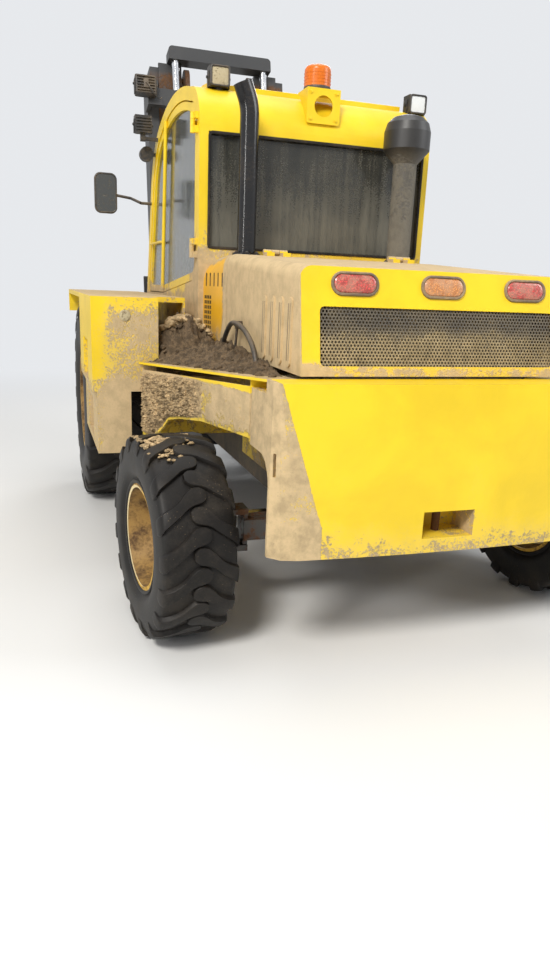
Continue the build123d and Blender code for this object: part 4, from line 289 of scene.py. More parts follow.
def weave(name, color, pitch=0.003):
    """A coarse woven cover with crossing threads and settled dust."""
    s = Shade(name, color, 0.85, Sheen_Weight=0.25)
    turn = 2 * math.pi / pitch
    warp = s.math("SINE", s.times(s.axes[0], turn))
    rise = s.math("ADD", s.axes[1], s.axes[2])
    weft = s.math("SINE", s.times(rise, turn))
    cross = s.span(s.times(warp, weft), -1.0, 1.0)
    worn = s.span(s.noise(9, 4, 0.6), 0.45, 0.8, 0.0, 0.5)
    # Raised thread crossings lighter and the dips between darker: painted light and shade of the weave
    tone = s.mix(cross, scaled(color, 0.6), scaled(color, 1.5))
    s.set("Base Color", s.mix(worn, tone, scaled(color, 2.2, 0.01)))
    s.bump(cross, 0.8, 0.0008)
    return s.material


def clay(name, color, wet=0.95):
    """Loose mud: brown lumps with paler dry skin."""
    s = Shade(name, color, wet)
    lumps = s.noise(26, 6, 0.7, warp=0.5)
    fine = s.noise(160, 3, 0.7)
    pale = s.span(s.total(lumps, s.times(fine, 0.4)), 0.55, 0.95)
    s.set("Base Color", s.mix(pale, scaled(color, 0.6), scaled(color, 1.9)))
    s.bump(s.total(lumps, s.times(fine, 0.3)), 1.0, 0.004)
    return s.material


paint_hood = soiled(
    "paint_hood", YELLOW, 0.36, base=-0.08, dust=0.30, even=0.8,
    faces=[(0, 1, 1.40), (0, -1, 0.95), (2, 1, 0.85)],
    spans=[(2, 1.190, 1.140, 0.66), (0, 0.42, 0.56, 0.25), (1, 2.05, 1.2, 0.25)],
    beyond=(1.0, 0.562, 1.5, 0.562, 1.0), mud=MUD_PALE,
)
# The cowl's clean paint is the yellow darkened towards orange: painted shade, for a side that lies in shadow
paint_cowl = soiled(
    "paint_cowl", (0.80, 0.42, 0.012), 0.42, base=0.10, even=0.6, faces=[(2, 1, 0.55)],
    spans=[(2, 1.30, 1.18, 0.40), (1, 1.09, 1.15, 0.85), (0, -0.3, -0.6, 0.4)], mud=MUD_PALE,
)
paint_cab = soiled(
    "paint_cab", YELLOW, 0.42, base=-0.16, dust=0.25, faces=[(1, -1, 0.05)],
    spans=[(2, 1.85, 1.40, 0.34), (2, 1.46, 1.30, 0.45), (2, 1.86, 1.60, 0.20), (1, 0.45, 0.74, 0.26)],
    mud=MUD_PALE, even=0.7,
)
paint_box = soiled(
    "paint_box", YELLOW, 0.42, base=0.55, dust=0.55, grain=1.7, faces=[(2, 1, 1.3)],
    spans=[(2, 1.24, 1.34, -0.34), (2, 1.02, 0.90, 0.50), (0, 1.10, 1.19, -0.45)], mud=MUD_PALE, even=0.8,
)
paint_deck = soiled(
    "paint_deck", YELLOW, 0.5, base=0.74, faces=[(2, 1, 0.5)],
    spans=[(2, 1.03, 1.045, -0.62), (2, 0.90, 0.86, -0.3)], grain=0.7, even=0.5, mud=MUD_PALE, bump=0.004,
)
paint_weight = soiled(
    "paint_weight", YELLOW, 0.36, base=-0.08, dust=0.40, grain=1.0, faces=[(0, 0, 0.25), (2, -1, 0.5)],
    spans=[(2, 0.66, 0.47, 0.42), (2, 0.95, 0.60, 0.10)], beyond=(0.60, 0.507, 1.112, 0.670, 0.66),
    even=0.3, mud=MUD_PALE,
)
paint_dark = soiled("paint_dark", CHARCOAL, 0.5, base=0.05, dust=0.30, faces=[(2, 1, 0.25)], grain=0.6)
paint_mast = soiled(
    "paint_mast", CHARCOAL, 0.45, base=-0.02, dust=0.3, spans=[(2, 2.55, 2.85, 0.22)], grain=0.8,
    mud=(0.17, 0.095, 0.05),
)
paint_inner = soiled(
    "paint_inner", CHARCOAL, 0.5, base=0.0, dust=0.4,
    spans=[(2, 2.99, 2.93, 0.55), (2, 1.6, 1.2, -0.3)], grain=1.0, mud=(0.17, 0.085, 0.04),
)
# Dark brown under dust: painted shadow for the strips along the hood's louvre ribs
louvre_shadow_dust = soiled("louvre_shadow_dust", (0.20, 0.15, 0.09), 0.8, base=0.3, dust=0.7, mud=(0.36, 0.28, 0.17))
# Near black with a little dust: painted shade for the cowl's vents and slots
vent_shade_black = plain("vent_shade_black", (0.008, 0.008, 0.008), 0.8, dust=0.15)
paint_frame = soiled("paint_frame", (0.05, 0.045, 0.035), 0.6, base=0.28, dust=0.5)
pipe_black = plain("pipe_black", (0.009, 0.009, 0.010), 0.16, dust=0.08, Specular_IOR_Level=0.45)
pipe_grey = soiled(
    "pipe_grey", (0.022, 0.021, 0.020), 0.42, base=-0.02, dust=0.5, even=0.5, spans=[(2, 2.14, 2.06, 0.62)],
    mud=(0.17, 0.155, 0.125),
)
iron = rusty("iron", (0.06, 0.055, 0.05), 0.35)
rust_block = rusty("rust_block", (0.09, 0.06, 0.045), 0.85)
chain_steel = rusty("chain_steel", (0.12, 0.09, 0.07), 0.6)
chrome = steel("chrome", (0.70, 0.71, 0.73), 0.08)
tyre_rubber = rubber("tyre_rubber")
tyre_walls = rubber("tyre_walls", (0.014, 0.013, 0.012), 0.35)
black_plastic = plain("black_plastic", (0.02, 0.02, 0.021), 0.5, dust=0.25)
seal_rubber = plain("seal_rubber", (0.010, 0.010, 0.010), 0.8, dust=0.10, Specular_IOR_Level=0.3)
rear_glass = window("rear_glass", (0.045, 0.05, 0.05), 0.60, 0.62, 0.38)
door_pane = window("door_pane", (0.42, 0.46, 0.47), 0.95, 0.35, 0.4)
red_lens = lens("red_lens", (0.62, 0.02, 0.025))
amber_lens = lens("amber_lens", (0.85, 0.26, 0.04))
beacon_amber = plain("beacon_amber", (0.70, 0.155, 0.004), 0.24, dust=0.10, Specular_IOR_Level=0.4)
cream_lens = soiled(
    "cream_lens", (0.50, 0.43, 0.27), 0.4, base=0.30, dust=0.6, grain=1.2, mud=(0.33, 0.25, 0.14),
)
white_lens = soiled("white_lens", (0.72, 0.74, 0.74), 0.12, base=-0.2, dust=0.2)
grommet = plain("grommet", (0.16, 0.12, 0.085), 0.8, dust=0.7)
mesh_paint = soiled(
    "mesh_paint", (0.06, 0.055, 0.05), 0.6, base=0.25, dust=0.6,
    spans=[(2, 1.31, 1.24, 0.35), (2, 1.24, 1.16, 0.12)], mud=(0.36, 0.285, 0.165),
)
core_dust = soiled("core_dust", (0.05, 0.045, 0.04), 0.8, base=0.42, dust=0.7, mud=(0.33, 0.26, 0.16))
mud_brown = clay("mud_brown", MUD_DARK)
mud_tan = clay("mud_tan", (0.38, 0.275, 0.15))
seat_weave = weave("seat_weave", (0.030, 0.031, 0.034))
seat_vinyl = plain("seat_vinyl", (0.020, 0.020, 0.022), 0.5, dust=0.12, scale=60, bump=0.0006)
# Dark mirror glass: its low reflectance is a painted dark reflection
mirror_face = steel("mirror_face", (0.13, 0.13, 0.12), 0.10)

# What each solid looks like. The rest is dark paint, and the tyres are rubber
LOOKS = [
    (paint_hood, "hood"), (paint_cowl, "cowl"), (paint_cab, "cab roof_panel beacon_bracket door_left"),
    (paint_weight, "counterweight"), (paint_deck, "side_deck_left side_deck_right"),
    (paint_box, "fender_left fender_right"), (pipe_black, "exhaust_stack"), (pipe_grey, "air_cleaner"),
    (rear_glass, "cab_glass"), (door_pane, "door_glass"), (mesh_paint, "grille"), (core_dust, "radiator"),
    (paint_frame, "chassis_frame cross_members tilt_anchors"), (rust_block, "tow_pin"),
    (iron, "front_axle rear_axle knuckle_left knuckle_right engine_block"), (beacon_amber, "beacon"),
    (chrome, "steering_rod tilt_rods lift_rods"), (chain_steel, "lift_chains"), (red_lens, "tail_lamps"),
    (black_plastic, "seat_base console steering_wheel mirrors work_lights mast_lights"),
    (seat_vinyl, "seat"), (paint_inner, "mast_inner"),
]
PAINTS = {name: look for look, names in LOOKS for name in names.split()}
for name, obj in nodes.items():
    look = PAINTS.get(name, paint_dark)
    if name.startswith("tyre_"):
        look = tyre_rubber
    obj.data.materials.clear()
    obj.data.materials.append(look)


# Geometry helpers. Edges that turn by more than SHARP, in radians, are bevelled
SHARP = 0.6


def put(name, data, material, body="chassis", smooth=True):
    """A mesh object in place, with its material, on its body."""
    obj = bpy.data.objects.new(name, data)
    bpy.context.scene.collection.objects.link(obj)
    for look in material if isinstance(material, (list, tuple)) else [material]:
        data.materials.append(look)
    if smooth:
        data.shade_smooth()
        data.set_sharp_from_angle(angle=math.radians(38))
    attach(obj, body)
    return obj


def from_arrays(name, verts, faces, material, body="chassis", smooth=True, picks=None):
    data = bpy.data.meshes.new(name)
    data.from_pydata([tuple(v) for v in verts], [], [tuple(f) for f in faces])
    data.validate()
    obj = put(name, data, material, body, smooth)
    if picks is not None:
        for face, pick in zip(data.polygons, picks):
            face.material_index = pick
    return obj


class Solids:
    """Gathers several simple solids into one piece."""

    def __init__(self):
        self.mesh = bmesh.new()

    def add(self, made, place, pick=0, bevel=0.0, segments=2):
        verts = made["verts"]
        bmesh.ops.transform(self.mesh, matrix=place, verts=verts)
        faces = {f for v in verts for f in v.link_faces}
        for face in faces:
            face.material_index = pick
        if bevel:
            edges = {e for f in faces for e in f.edges if len(e.link_faces) == 2 and e.calc_face_angle(0) > SHARP}
            bmesh.ops.bevel(
                self.mesh, geom=list(edges), offset=bevel, segments=segments, profile=0.5, affect="EDGES",
            )
        return self

    def box(self, centre, size, turn=None, pick=0, bevel=0.002):
        place = Matrix.Translation(centre) @ (turn or Matrix.Identity(4)) @ Matrix.Diagonal((*size, 1))
        return self.add(bmesh.ops.create_cube(self.mesh, size=1), place, pick, bevel)

    def rod(self, start, end, radius, pick=0, sides=24, bevel=0.0):
        start, end = Vector(start), Vector(end)
        run = end - start
        place = Matrix.Translation((start + end) / 2) @ run.to_track_quat("Z", "Y").to_matrix().to_4x4()
        made = bmesh.ops.create_cone(
            self.mesh, cap_ends=True, segments=sides, radius1=radius, radius2=radius, depth=run.length,
        )
        return self.add(made, place, pick, bevel)

    def bolt(self, spot, way, size=0.009, height=0.008, pick=0):
        spot, way = Vector(spot), Vector(way).normalized()
        self.rod(spot, spot + way * 0.002, size * 1.55, pick, 20)
        return self.rod(spot + way * 0.002, spot + way * (0.002 + height), size, pick, 6, bevel=0.0008)

    def done(self, name, material, body="chassis", slot=None):
        data = bpy.data.meshes.new(name)
        self.mesh.to_mesh(data)
        self.mesh.free()
        return put(name, data, material, body)


def smooth_path(points, steps=8, closed=False):
    """Points along a Catmull-Rom curve through the given points."""
    pts = [Vector(p) for p in points]
    out = []
    count = len(pts)
    for i in range(count if closed else count - 1):
        if closed:
            a, b, c, d = (pts[(i + k) % count] for k in (-1, 0, 1, 2))
        else:
            a, b, c, d = pts[max(i - 1, 0)], pts[i], pts[i + 1], pts[min(i + 2, count - 1)]
        for k in range(steps):
            t = k / steps
            spot = (2 * b) + (c - a) * t + (2 * a - 5 * b + 4 * c - d) * t * t
            out.append(0.5 * (spot + (3 * b - a - 3 * c + d) * t ** 3))
    if not closed:
        out.append(pts[-1])
    return out


def band(size, low, high):
    """Quads between two closed rings of points that start at low and at high."""
    return [(low + k, low + (k + 1) % size, high + (k + 1) % size, high + k) for k in range(size)]


def tube(name, path, radius, material, body="chassis", sides=14, closed=False, profile=None):
    """A swept tube, or a swept profile of (across, up) points, along a path."""
    turns = [2 * math.pi * i / sides for i in range(sides)]
    ring = profile or [(radius * math.cos(turn), radius * math.sin(turn)) for turn in turns]
    path = [Vector(p) for p in path]
    count, size = len(path), len(ring)
    verts, faces = [], []
    across = None
    for i, spot in enumerate(path):
        if closed:
            run = (path[(i + 1) % count] - path[i - 1]).normalized()
        else:
            run = (path[min(i + 1, count - 1)] - path[max(i - 1, 0)]).normalized()
        if across is None:
            across = run.cross(Vector((0, 0, 1)))
            if across.length < 0.1:
                across = run.cross(Vector((0, 1, 0)))
        across = (across - run * across.dot(run)).normalized()
        up = across.cross(run)
        verts += [spot + across * a + up * b for a, b in ring]
    for i in range(count if closed else count - 1):
        j = (i + 1) % count
        faces += band(size, i * size, j * size)
    if not closed:
        faces += [tuple(range(size))[::-1], tuple(range((count - 1) * size, count * size))]
    return from_arrays(name, verts, faces, material, body)


def cord(name, points, diameter, body, steps, sides):
    """A black cord along a smooth route, with both ends in or on the object."""
    route = smooth_path(points, steps)
    piece = tube(name, route, diameter / 2, black_plastic, body, sides=sides)


# Wheels
WHEELS = [
    # node, side, turn, tip radius, half width, rim radius,
    # bars a side, bar depth, bolts, bolt circle, bolt size
    ("front_left", 1, 0.0, 0.634, 0.215, 0.312, 19, 0.027, 10, 0.165, 0.015),
    ("front_right", -1, 0.0, 0.634, 0.215, 0.312, 19, 0.027, 10, 0.165, 0.015),
    ("rear_left", 1, 6.8, 0.418, 0.1555, 0.212, 17, 0.021, 8, 0.105, 0.012),
    ("rear_right", -1, 6.8, 0.418, 0.1555, 0.212, 17, 0.021, 8, 0.105, 0.012),
]


def tyre_profile(tip, half, rim, depth):
    """(across, radius) points of the tyre's skin under its bars, from the inner bead to the outer one."""
    bead = half * 0.80
    tread = tip - depth
    side = [
        (bead, rim + 0.002), (bead + 0.012, rim + 0.012),
        (bead + 0.014, rim + 0.022), (bead + 0.006, rim + 0.030),
        (half * 0.955, rim + (tread - rim) * 0.30), (half * 0.985, rim + (tread - rim) * 0.50),
        (half * 0.975, rim + (tread - rim) * 0.68), (half * 0.945, rim + (tread - rim) * 0.84),
        (half * 0.90, tread - 0.012), (half * 0.80, tread - 0.002),
    ]
    middle = [(half * k, tread + 0.003 * (1 - k * k)) for k in (0.55, 0.28, 0.0, -0.28, -0.55)]
    return [(-a, r) for a, r in side] + [(-a, r) for a, r in middle] + [(a, r) for a, r in reversed(side)]


def make_tyre(name, side, turn, tip, half, rim, bars, depth):
    node = f"tyre_{name}"
    tread_lo, tread_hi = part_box(node)
    centre = Vector(((tread_lo.x + tread_hi.x) / 2, (tread_lo.y + tread_hi.y) / 2, tip))
    out = Vector((side * math.cos(math.radians(turn)), side * math.sin(math.radians(turn)), 0))
    up = Vector((0, 0, 1))
    ahead = out.cross(up)
    profile = smooth_path([(a, r, 0) for a, r in tyre_profile(tip, half, rim, depth)], 3)
    profile = [(p.x, p.y) for p in profile]
    rings = 144
    verts, faces, picks = [], [], []
    for i in range(rings):
        angle = 2 * math.pi * i / rings
        way = up * math.cos(angle) + ahead * math.sin(angle)
        verts += [centre + out * a + way * r for a, r in profile]
    size = len(profile)
    for i in range(rings):
        j = (i + 1) % rings
        for k in range(size - 1):
            faces.append((i * size + k, i * size + k + 1, j * size + k + 1, j * size + k))
            picks.append(1 if abs(profile[k][0]) > half * 0.86 else 0)
        faces.append((i * size + size - 1, i * size, j * size, j * size + size - 1))
        picks.append(1)

    # bars: ribbons that run from the shoulder's side over the tread, with a kink at the middle block
    pitch = 2 * math.pi / bars
    shoulder = tip - depth

    def skin(s):
        """(across, radius, across part of the normal) at s: 0 middle, 1 shoulder, 1.6 down the wall."""
        if s <= 0.86:
            return half * s, shoulder, 0.0
        t = min((s - 0.86) / 0.74, 1.0)
        bend = t * math.pi * 0.5
        return (
            half * (0.86 + 0.115 * math.sin(bend)), shoulder - 0.006 - (shoulder - rim) * 0.26 * t * t,
            math.sin(min(t * 2.2, 1) * math.pi / 2) * 0.95,
        )

    # s, angle share of a pitch, half width share of a pitch, height share
    line = [
        (-0.22, 0.56, 0.085, 0.96), (-0.17, 0.555, 0.155, 1.0), (-0.09, 0.55, 0.205, 1.0),
        (0.02, 0.54, 0.225, 1.0), (0.15, 0.51, 0.225, 1.0), (0.28, 0.42, 0.205, 1.0),
        (0.42, 0.28, 0.180, 1.0), (0.56, 0.17, 0.175, 1.0), (0.72, 0.07, 0.185, 1.0),
        (0.88, -0.02, 0.205, 1.0), (0.97, -0.06, 0.215, 0.98), (1.10, -0.09, 0.220, 0.80),
        (1.26, -0.11, 0.215, 0.52), (1.42, -0.12, 0.200, 0.30), (1.56, -0.12, 0.170, 0.10),
    ]
    # across the ribbon: place as a share of the half width, height share
    cut = [
        (-1.16, -0.12), (-1.02, 0.80), (-0.93, 0.97), (-0.5, 1.0), (0.0, 1.0), (0.5, 1.0), (0.93, 0.97),
        (1.02, 0.80), (1.16, -0.12),
    ]
    width = len(cut)
    for end in (1, -1):
        for bar in range(bars):
            start = len(verts)
            middle = (bar + (0.5 if end < 0 else 0.0)) * pitch
            for step, (s, share, wide, tall) in enumerate(line):
                across, radius, lean = skin(abs(s))
                across *= 1 if s >= 0 else -1
                for place, lift in cut:
                    angle = middle + (share + place * wide) * pitch
                    way = up * math.cos(angle) + ahead * math.sin(angle)
                    rise = depth * tall * lift
                    flat = math.sqrt(max(0.0, 1 - lean * lean))
                    reach = min((radius + rise * flat), tip)
                    verts.append(centre + out * end * min(across + rise * lean * 0.35, half) + way * reach)
            for step in range(len(line) - 1):
                for k in range(width - 1):
                    a = start + step * width + k
                    quad = (a, a + 1, a + width + 1, a + width)
                    faces.append(quad if end > 0 else quad[::-1])
                    picks.append(0)
            # both ends of the ribbon
            for base, flip in ((start, end < 0), (start + (len(line) - 1) * width, end > 0)):
                ring = tuple(range(base, base + width))
                faces.append(ring[::-1] if flip else ring)
                picks.append(0)
    looks = [tyre_rubber, tyre_walls]
    tyre = from_arrays(f"tread_{name}", verts, faces, looks, f"wheel_{name}", picks=picks)
    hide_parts(node)
    return centre, out, up, ahead


def rim_details(name, side, centre, out, up, ahead, bolts, circle, bolt_size):
    """Wheel nuts, hub cap bolts and a valve in the rim's dish."""
    deep, hub, proud = (-0.018, 0.050, 0.050) if name.startswith("front") else (-0.016, 0.040, 0.040)
    parts = Solids()
    for i in range(bolts):
        angle = 2 * math.pi * (i + 0.5) / bolts
        way = up * math.cos(angle) + ahead * math.sin(angle)
        parts.bolt(centre + way * circle + out * deep, out, bolt_size, bolt_size * 1.3)
    for i in range(6):
        angle = 2 * math.pi * i / 6
        way = up * math.cos(angle) + ahead * math.sin(angle)
        parts.bolt(centre + way * hub + out * proud, out, bolt_size * 0.5, bolt_size * 0.5)
    valve = up * math.cos(2.1) + ahead * math.sin(2.1)
    reach = circle * 1.28
    foot = centre + valve * reach + out * deep
    parts.rod(foot, centre + valve * (reach + 0.01) + out * (deep + 0.045), 0.006, sides=12)
    return parts.done(f"nuts_{name}", rust_block, f"wheel_{name}", "yellow_paint")


spots = {}
for name, side, turn, tip, half, rim, bars, depth, bolts, circle, bolt_size in WHEELS:
    spots[name] = make_tyre(name, side, turn, tip, half, rim, bars, depth)
    rim_details(name, side, *spots[name], bolts, circle, bolt_size)
    wheel = nodes[f"rim_{name}"].data.materials
    wheel.clear()
    wheel.append(rim_paint(f"rim_{name}", spots[name][0], rim))


# Rear panel: perforated sheet and lamps
PANEL_RAKE = 0.171
HOOD_REAR = 2.249697
HOOD_LOW = 1.122


def on_panel(x, z, proud=0.0):
    """A point on the hood's raked rear panel."""
    slope = math.atan(PANEL_RAKE)
    spot = Vector((x, HOOD_REAR - PANEL_RAKE * (z - HOOD_LOW), z))
    return spot + Vector((0, math.cos(slope), math.sin(slope))) * proud


def perforated(name, spot, half_wide, low_z, high_z, pitch, hole, thick, material, body):
    """A sheet with staggered six-sided holes. spot maps (along, up, proud) to a place."""
    verts, faces = [], []
    step = pitch * math.sqrt(3) / 2
    rows = int((high_z - low_z) / step)
    columns = int(2 * half_wide / pitch)
    for row in range(rows):
        for column in range(columns):
            u = -half_wide + pitch * (column + (0.75 if row % 2 else 0.25))
            v = low_z + step * (row + 0.5)
            start = len(verts)
            for proud in (0.0, -thick):
                for radius, turned in ((pitch / math.sqrt(3), 0.5), (hole, 0.5)):
                    for k in range(6):
                        angle = math.pi / 3 * (k + turned)
                        verts.append(spot(u + radius * math.cos(angle), v + radius * math.sin(angle), proud))
            for k in range(6):
                n = (k + 1) % 6
                faces.append((start + k, start + n, start + 6 + n, start + 6 + k))
                faces.append((start + 6 + k, start + 6 + n, start + 18 + n, start + 18 + k))
                faces.append((start + 12 + n, start + 12 + k, start + 18 + k, start + 18 + n))
    return from_arrays(name, verts, faces, material, body, smooth=False)


SHEET_IN = 0.008
grille = perforated(
    "grille_sheet", lambda u, v, proud: on_panel(u, v, proud - SHEET_IN), half_wide=0.500, low_z=1.155,
    high_z=1.372, pitch=0.0135, hole=0.0049, thick=0.0015, material=mesh_paint, body="hood_body",
)
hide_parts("grille")

# A narrow frame around the sheet, a little behind its face
edge = Solids()
slope = Matrix.Rotation(math.atan(PANEL_RAKE), 4, "X")
# Columns: X, height, width, tallness
EDGES = [
    (0, 1.1535, 1.0, 0.012), (0, 1.3705, 1.0, 0.012), (-0.495, 1.262, 0.012, 0.22), (0.495, 1.262, 0.012, 0.22),
]
for x, z, wide, tall in EDGES:
    edge.box(on_panel(x, z, -0.012), (wide, 0.006, tall), slope, bevel=0.001)
edge.done("grille_frame", paint_dark, "hood_body", "dark_paint")

LAMP_X = 0.356
LAMP_Z = 1.443
LAMP_HALF = 0.0925
LAMP_TALL = 0.0415


def oval(long_half, tall_half, count=56):
    """Points around a slot with round ends."""
    straight = long_half - tall_half
    points = []
    for i in range(count):
        angle = 2 * math.pi * i / count
        shift = straight if math.cos(angle) >= 0 else -straight
        points.append((shift + tall_half * math.cos(angle), tall_half * math.sin(angle)))
    return points


def lamp_rings(centre_x, rings):
    """Skin through ovals given as (shrink, proud)."""
    verts, faces = [], []
    size = 56
    for shrink, proud in rings:
        outline = oval(LAMP_HALF - shrink, LAMP_TALL - shrink, size)
        verts += [on_panel(centre_x + a, LAMP_Z + b, proud) for a, b in outline]
    for i in range(len(rings) - 1):
        faces += [(b, a, d, c) for a, b, c, d in band(size, i * size, (i + 1) * size)]
    return verts, faces, size


grommets = [
    (0.001, -0.030), (0.0, 0.004), (0.001, 0.0075), (0.004, 0.009), (0.0075, 0.0088), (0.0095, 0.006),
    (0.010, 0.001),
]
dome = [
    (0.0098, 0.000), (0.0105, 0.005), (0.013, 0.008), (0.018, 0.0095), (0.026, 0.0105), (0.036, 0.011),
    (0.0405, 0.011),
]
ring_verts, ring_faces = [], []
for x, label in ((-LAMP_X, "right"), (0.0, "middle"), (LAMP_X, "left")):
    verts, faces, size = lamp_rings(x, grommets)
    ring_faces += [tuple(i + len(ring_verts) for i in face) for face in faces]
    ring_verts += verts
    verts, faces, size = lamp_rings(x, dome)
    faces.append(tuple(range((len(dome) - 1) * size, len(dome) * size))[::-1])
    tone, slot = (amber_lens, "amber_lens") if x == 0 else (red_lens, "red_lens")
    from_arrays(f"lamp_lens_{label}", verts, faces, tone, "hood_body")
rings = from_arrays("lamp_grommets", ring_verts, ring_faces, grommet, "hood_body")
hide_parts("tail_lamps")


# Cab: seals, lenses, mirrors, small parts
CAB_REAR = 0.8347


def rounded(half_wide, half_tall, radius, steps=6):
    """Points around a rectangle with round corners."""
    points = []
    for corner, (sx, sy) in enumerate(((1, 1), (-1, 1), (-1, -1), (1, -1))):
        for k in range(steps + 1):
            angle = math.pi / 2 * (corner + k / steps)
            across, up = radius * math.cos(angle), radius * math.sin(angle)
            points.append((sx * (half_wide - radius) + across, sy * (half_tall - radius) + up))
    return points


def framed_lens(
    name, spot, along, up, way, half_wide, half_tall, lens_look, body="chassis", rim=0.008, deep=0.012,
):
    """A lamp face: a raised bezel around a slightly crowned, dimpled lens."""
    spot, along, up, way = Vector(spot), Vector(along), Vector(up), Vector(way)
    rings = [(0.0, 0.0), (0.0, deep), (rim * 0.4, deep + 0.002), (rim, deep), (rim * 1.1, deep - 0.005)]
    verts, faces, size = [], [], 28
    for shrink, proud in rings:
        outline = rounded(half_wide - shrink, half_tall - shrink, max(0.014 - shrink * 0.6, 0.006))
        verts += [spot + along * a + up * b + way * proud for a, b in outline]
    for ring in range(len(rings) - 1):
        faces += band(size, ring * size, (ring + 1) * size)
    from_arrays(f"{name}_bezel", verts, faces, black_plastic, body)
    verts, faces = [], []
    columns = rows = 12
    for row in range(rows + 1):
        for column in range(columns + 1):
            a, b = 2 * column / columns - 1, 2 * row / rows - 1
            dimple = 0.0012 * math.cos(a * math.pi * 3) * math.cos(b * math.pi * 3)
            crown = deep - 0.004 + 0.003 * (1 - a * a) * (1 - b * b) + dimple
            verts.append(spot + along * a * (half_wide - rim) + up * b * (half_tall - rim) + way * crown)
    for row in range(rows):
        for column in range(columns):
            k = row * (columns + 1) + column
            faces.append((k, k + 1, k + columns + 2, k + columns + 1))
    from_arrays(f"{name}_lens", verts, faces, lens_look, body)


# Rear window's rubber, pressed on the frame around the pane
seal_path = [(-0.006 + a, CAB_REAR + 0.002, 1.875 + b) for a, b in rounded(0.589, 0.270, 0.016)]
seal_profile = [
    (-0.007, -0.004), (-0.007, 0.002), (-0.004, 0.004), (0.004, 0.004), (0.007, 0.002), (0.007, -0.004),
]
tube("rear_seal", seal_path, 0, seal_rubber, "chassis", closed=True, profile=seal_profile)

# Work lights. Columns: X, ahead of the cab's rear, height of the middle, way it looks, lens
LIGHTS = [
    ("left_rear", 0.513, 0.135, 2.4215, 1, cream_lens), ("right_rear", -0.590, 0.135, 2.4075, 1, white_lens),
    ("left_front", 0.766, 1.035, 2.3415, -1, white_lens),
    ("right_front", -0.766, 1.035, 2.3415, -1, white_lens),
]
small = Solids()
for label, x, ahead, z, way, look in LIGHTS:
    y = CAB_REAR - ahead
    framed_lens(
        f"light_{label}", (x, y + way * 0.0352, z), (-way, 0, 0), (0, 0, 1), (0, way, 0), 0.050, 0.0475, look,
    )
    for k in range(5):
        small.box((x, y - way * 0.0385, z - 0.032 + 0.016 * k), (0.088, 0.008, 0.004), bevel=0.0008)
    for end in (-1, 1):
        small.box((x + end * 0.053, y, z - 0.012), (0.005, 0.030, 0.075), bevel=0.001)
        small.bolt((x + end * 0.0555, y, z - 0.002), (end, 0, 0), 0.007, 0.005)

# Mirrors: a black shell's rim around the glass, the glass looks to the rear
MIRROR_X = 0.962
MIRROR_Y = CAB_REAR - 1.400
MIRROR_Z = 1.975
MIRROR_ARM_Z = 1.985
for side, label in ((1, "left"), (-1, "right")):
    face = [(side * MIRROR_X + a, MIRROR_Y + 0.0132, MIRROR_Z + b) for a, b in rounded(0.066, 0.118, 0.034)]
    count = len(face)
    mirror_verts = [Vector(v) for v in face] + [Vector((v[0], v[1] - 0.001, v[2])) for v in face]
    mirror_faces = [tuple(range(count))[::-1], tuple(range(count, 2 * count))]
    mirror_faces += band(count, 0, count)
    from_arrays(
        f"mirror_glass_{label}", mirror_verts, mirror_faces, mirror_face, "chassis", smooth=False,
    )
    edge = [(x, y + 0.001, z) for x, y, z in face]
    tube(f"mirror_rim_{label}", edge, 0.004, black_plastic, "chassis", sides=8, closed=True)
    boss = [(side * MIRROR_X, MIRROR_Y - behind, MIRROR_ARM_Z) for behind in (0.010, 0.030)]
    small.rod(*boss, 0.022)

# Beacon: dark foot and four ribs
BEACON_X = 0.008
BEACON_Y = CAB_REAR - 0.066
BEACON_R = 0.0695
small.rod((BEACON_X, BEACON_Y, 2.4003), (BEACON_X, BEACON_Y, 2.417), BEACON_R, sides=40, bevel=0.002)
small.done("lamp_fittings", black_plastic, "chassis", "black_plastic")
ribs = Solids()
for z in (2.432, 2.447, 2.462, 2.477):
    ribs.rod((BEACON_X, BEACON_Y, z - 0.0015), (BEACON_X, BEACON_Y, z + 0.0015), BEACON_R, sides=40)
ribs.done("beacon_ribs", beacon_amber, "chassis", "amber_lens")


MAST_LEAN = math.radians(12)
MAST_PIN_Y = -0.8703
MAST_PIN_Z = 0.480


def on_mast(x, y, z):
    """A point given in sizes of the upright mast."""
    ahead, up = math.sin(MAST_LEAN), math.cos(MAST_LEAN)
    return Vector((x, MAST_PIN_Y + y * up - z * ahead, MAST_PIN_Z + y * ahead + z * up))


def mast_way(x, y, z):
    """A direction given in the upright mast's axes."""
    return on_mast(x, y, z) - on_mast(0, 0, 0)


# Mast lights: lens that looks ahead, cooling fins behind, a yoke with bolts and a cable to the mast
MAST_LIGHT = (0.600, 0.120, 2.3435)
lights = Solids()
lean = Matrix.Rotation(MAST_LEAN, 4, "X")
for side, label in ((1, "left"), (-1, "right")):
    x, y, z = MAST_LIGHT[0] * side, *MAST_LIGHT[1:]
    framed_lens(
        f"mast_light_{label}", on_mast(x, y - 0.040, z), (1, 0, 0), mast_way(0, 0, 1), mast_way(0, -1, 0),
        0.072, 0.059, white_lens, "mast_body", rim=0.009, deep=0.010,
    )
    for k in range(6):
        lights.box(on_mast(x, y + 0.046, z - 0.048 + 0.0192 * k), (0.128, 0.013, 0.004), lean, bevel=0.001)
    lights.box(on_mast(x, y + 0.044, z), (0.036, 0.018, 0.060), lean, bevel=0.003)
    for end in (-1, 1):
        lights.box(on_mast(x + end * 0.079, y, z - 0.012), (0.006, 0.030, 0.100), lean, bevel=0.0015)
        lights.bolt(on_mast(x + end * 0.082, y, z + 0.010), (end, 0, 0), 0.008, 0.006)
lights.done("mast_light_fittings", black_plastic, "mast_body", "black_plastic")
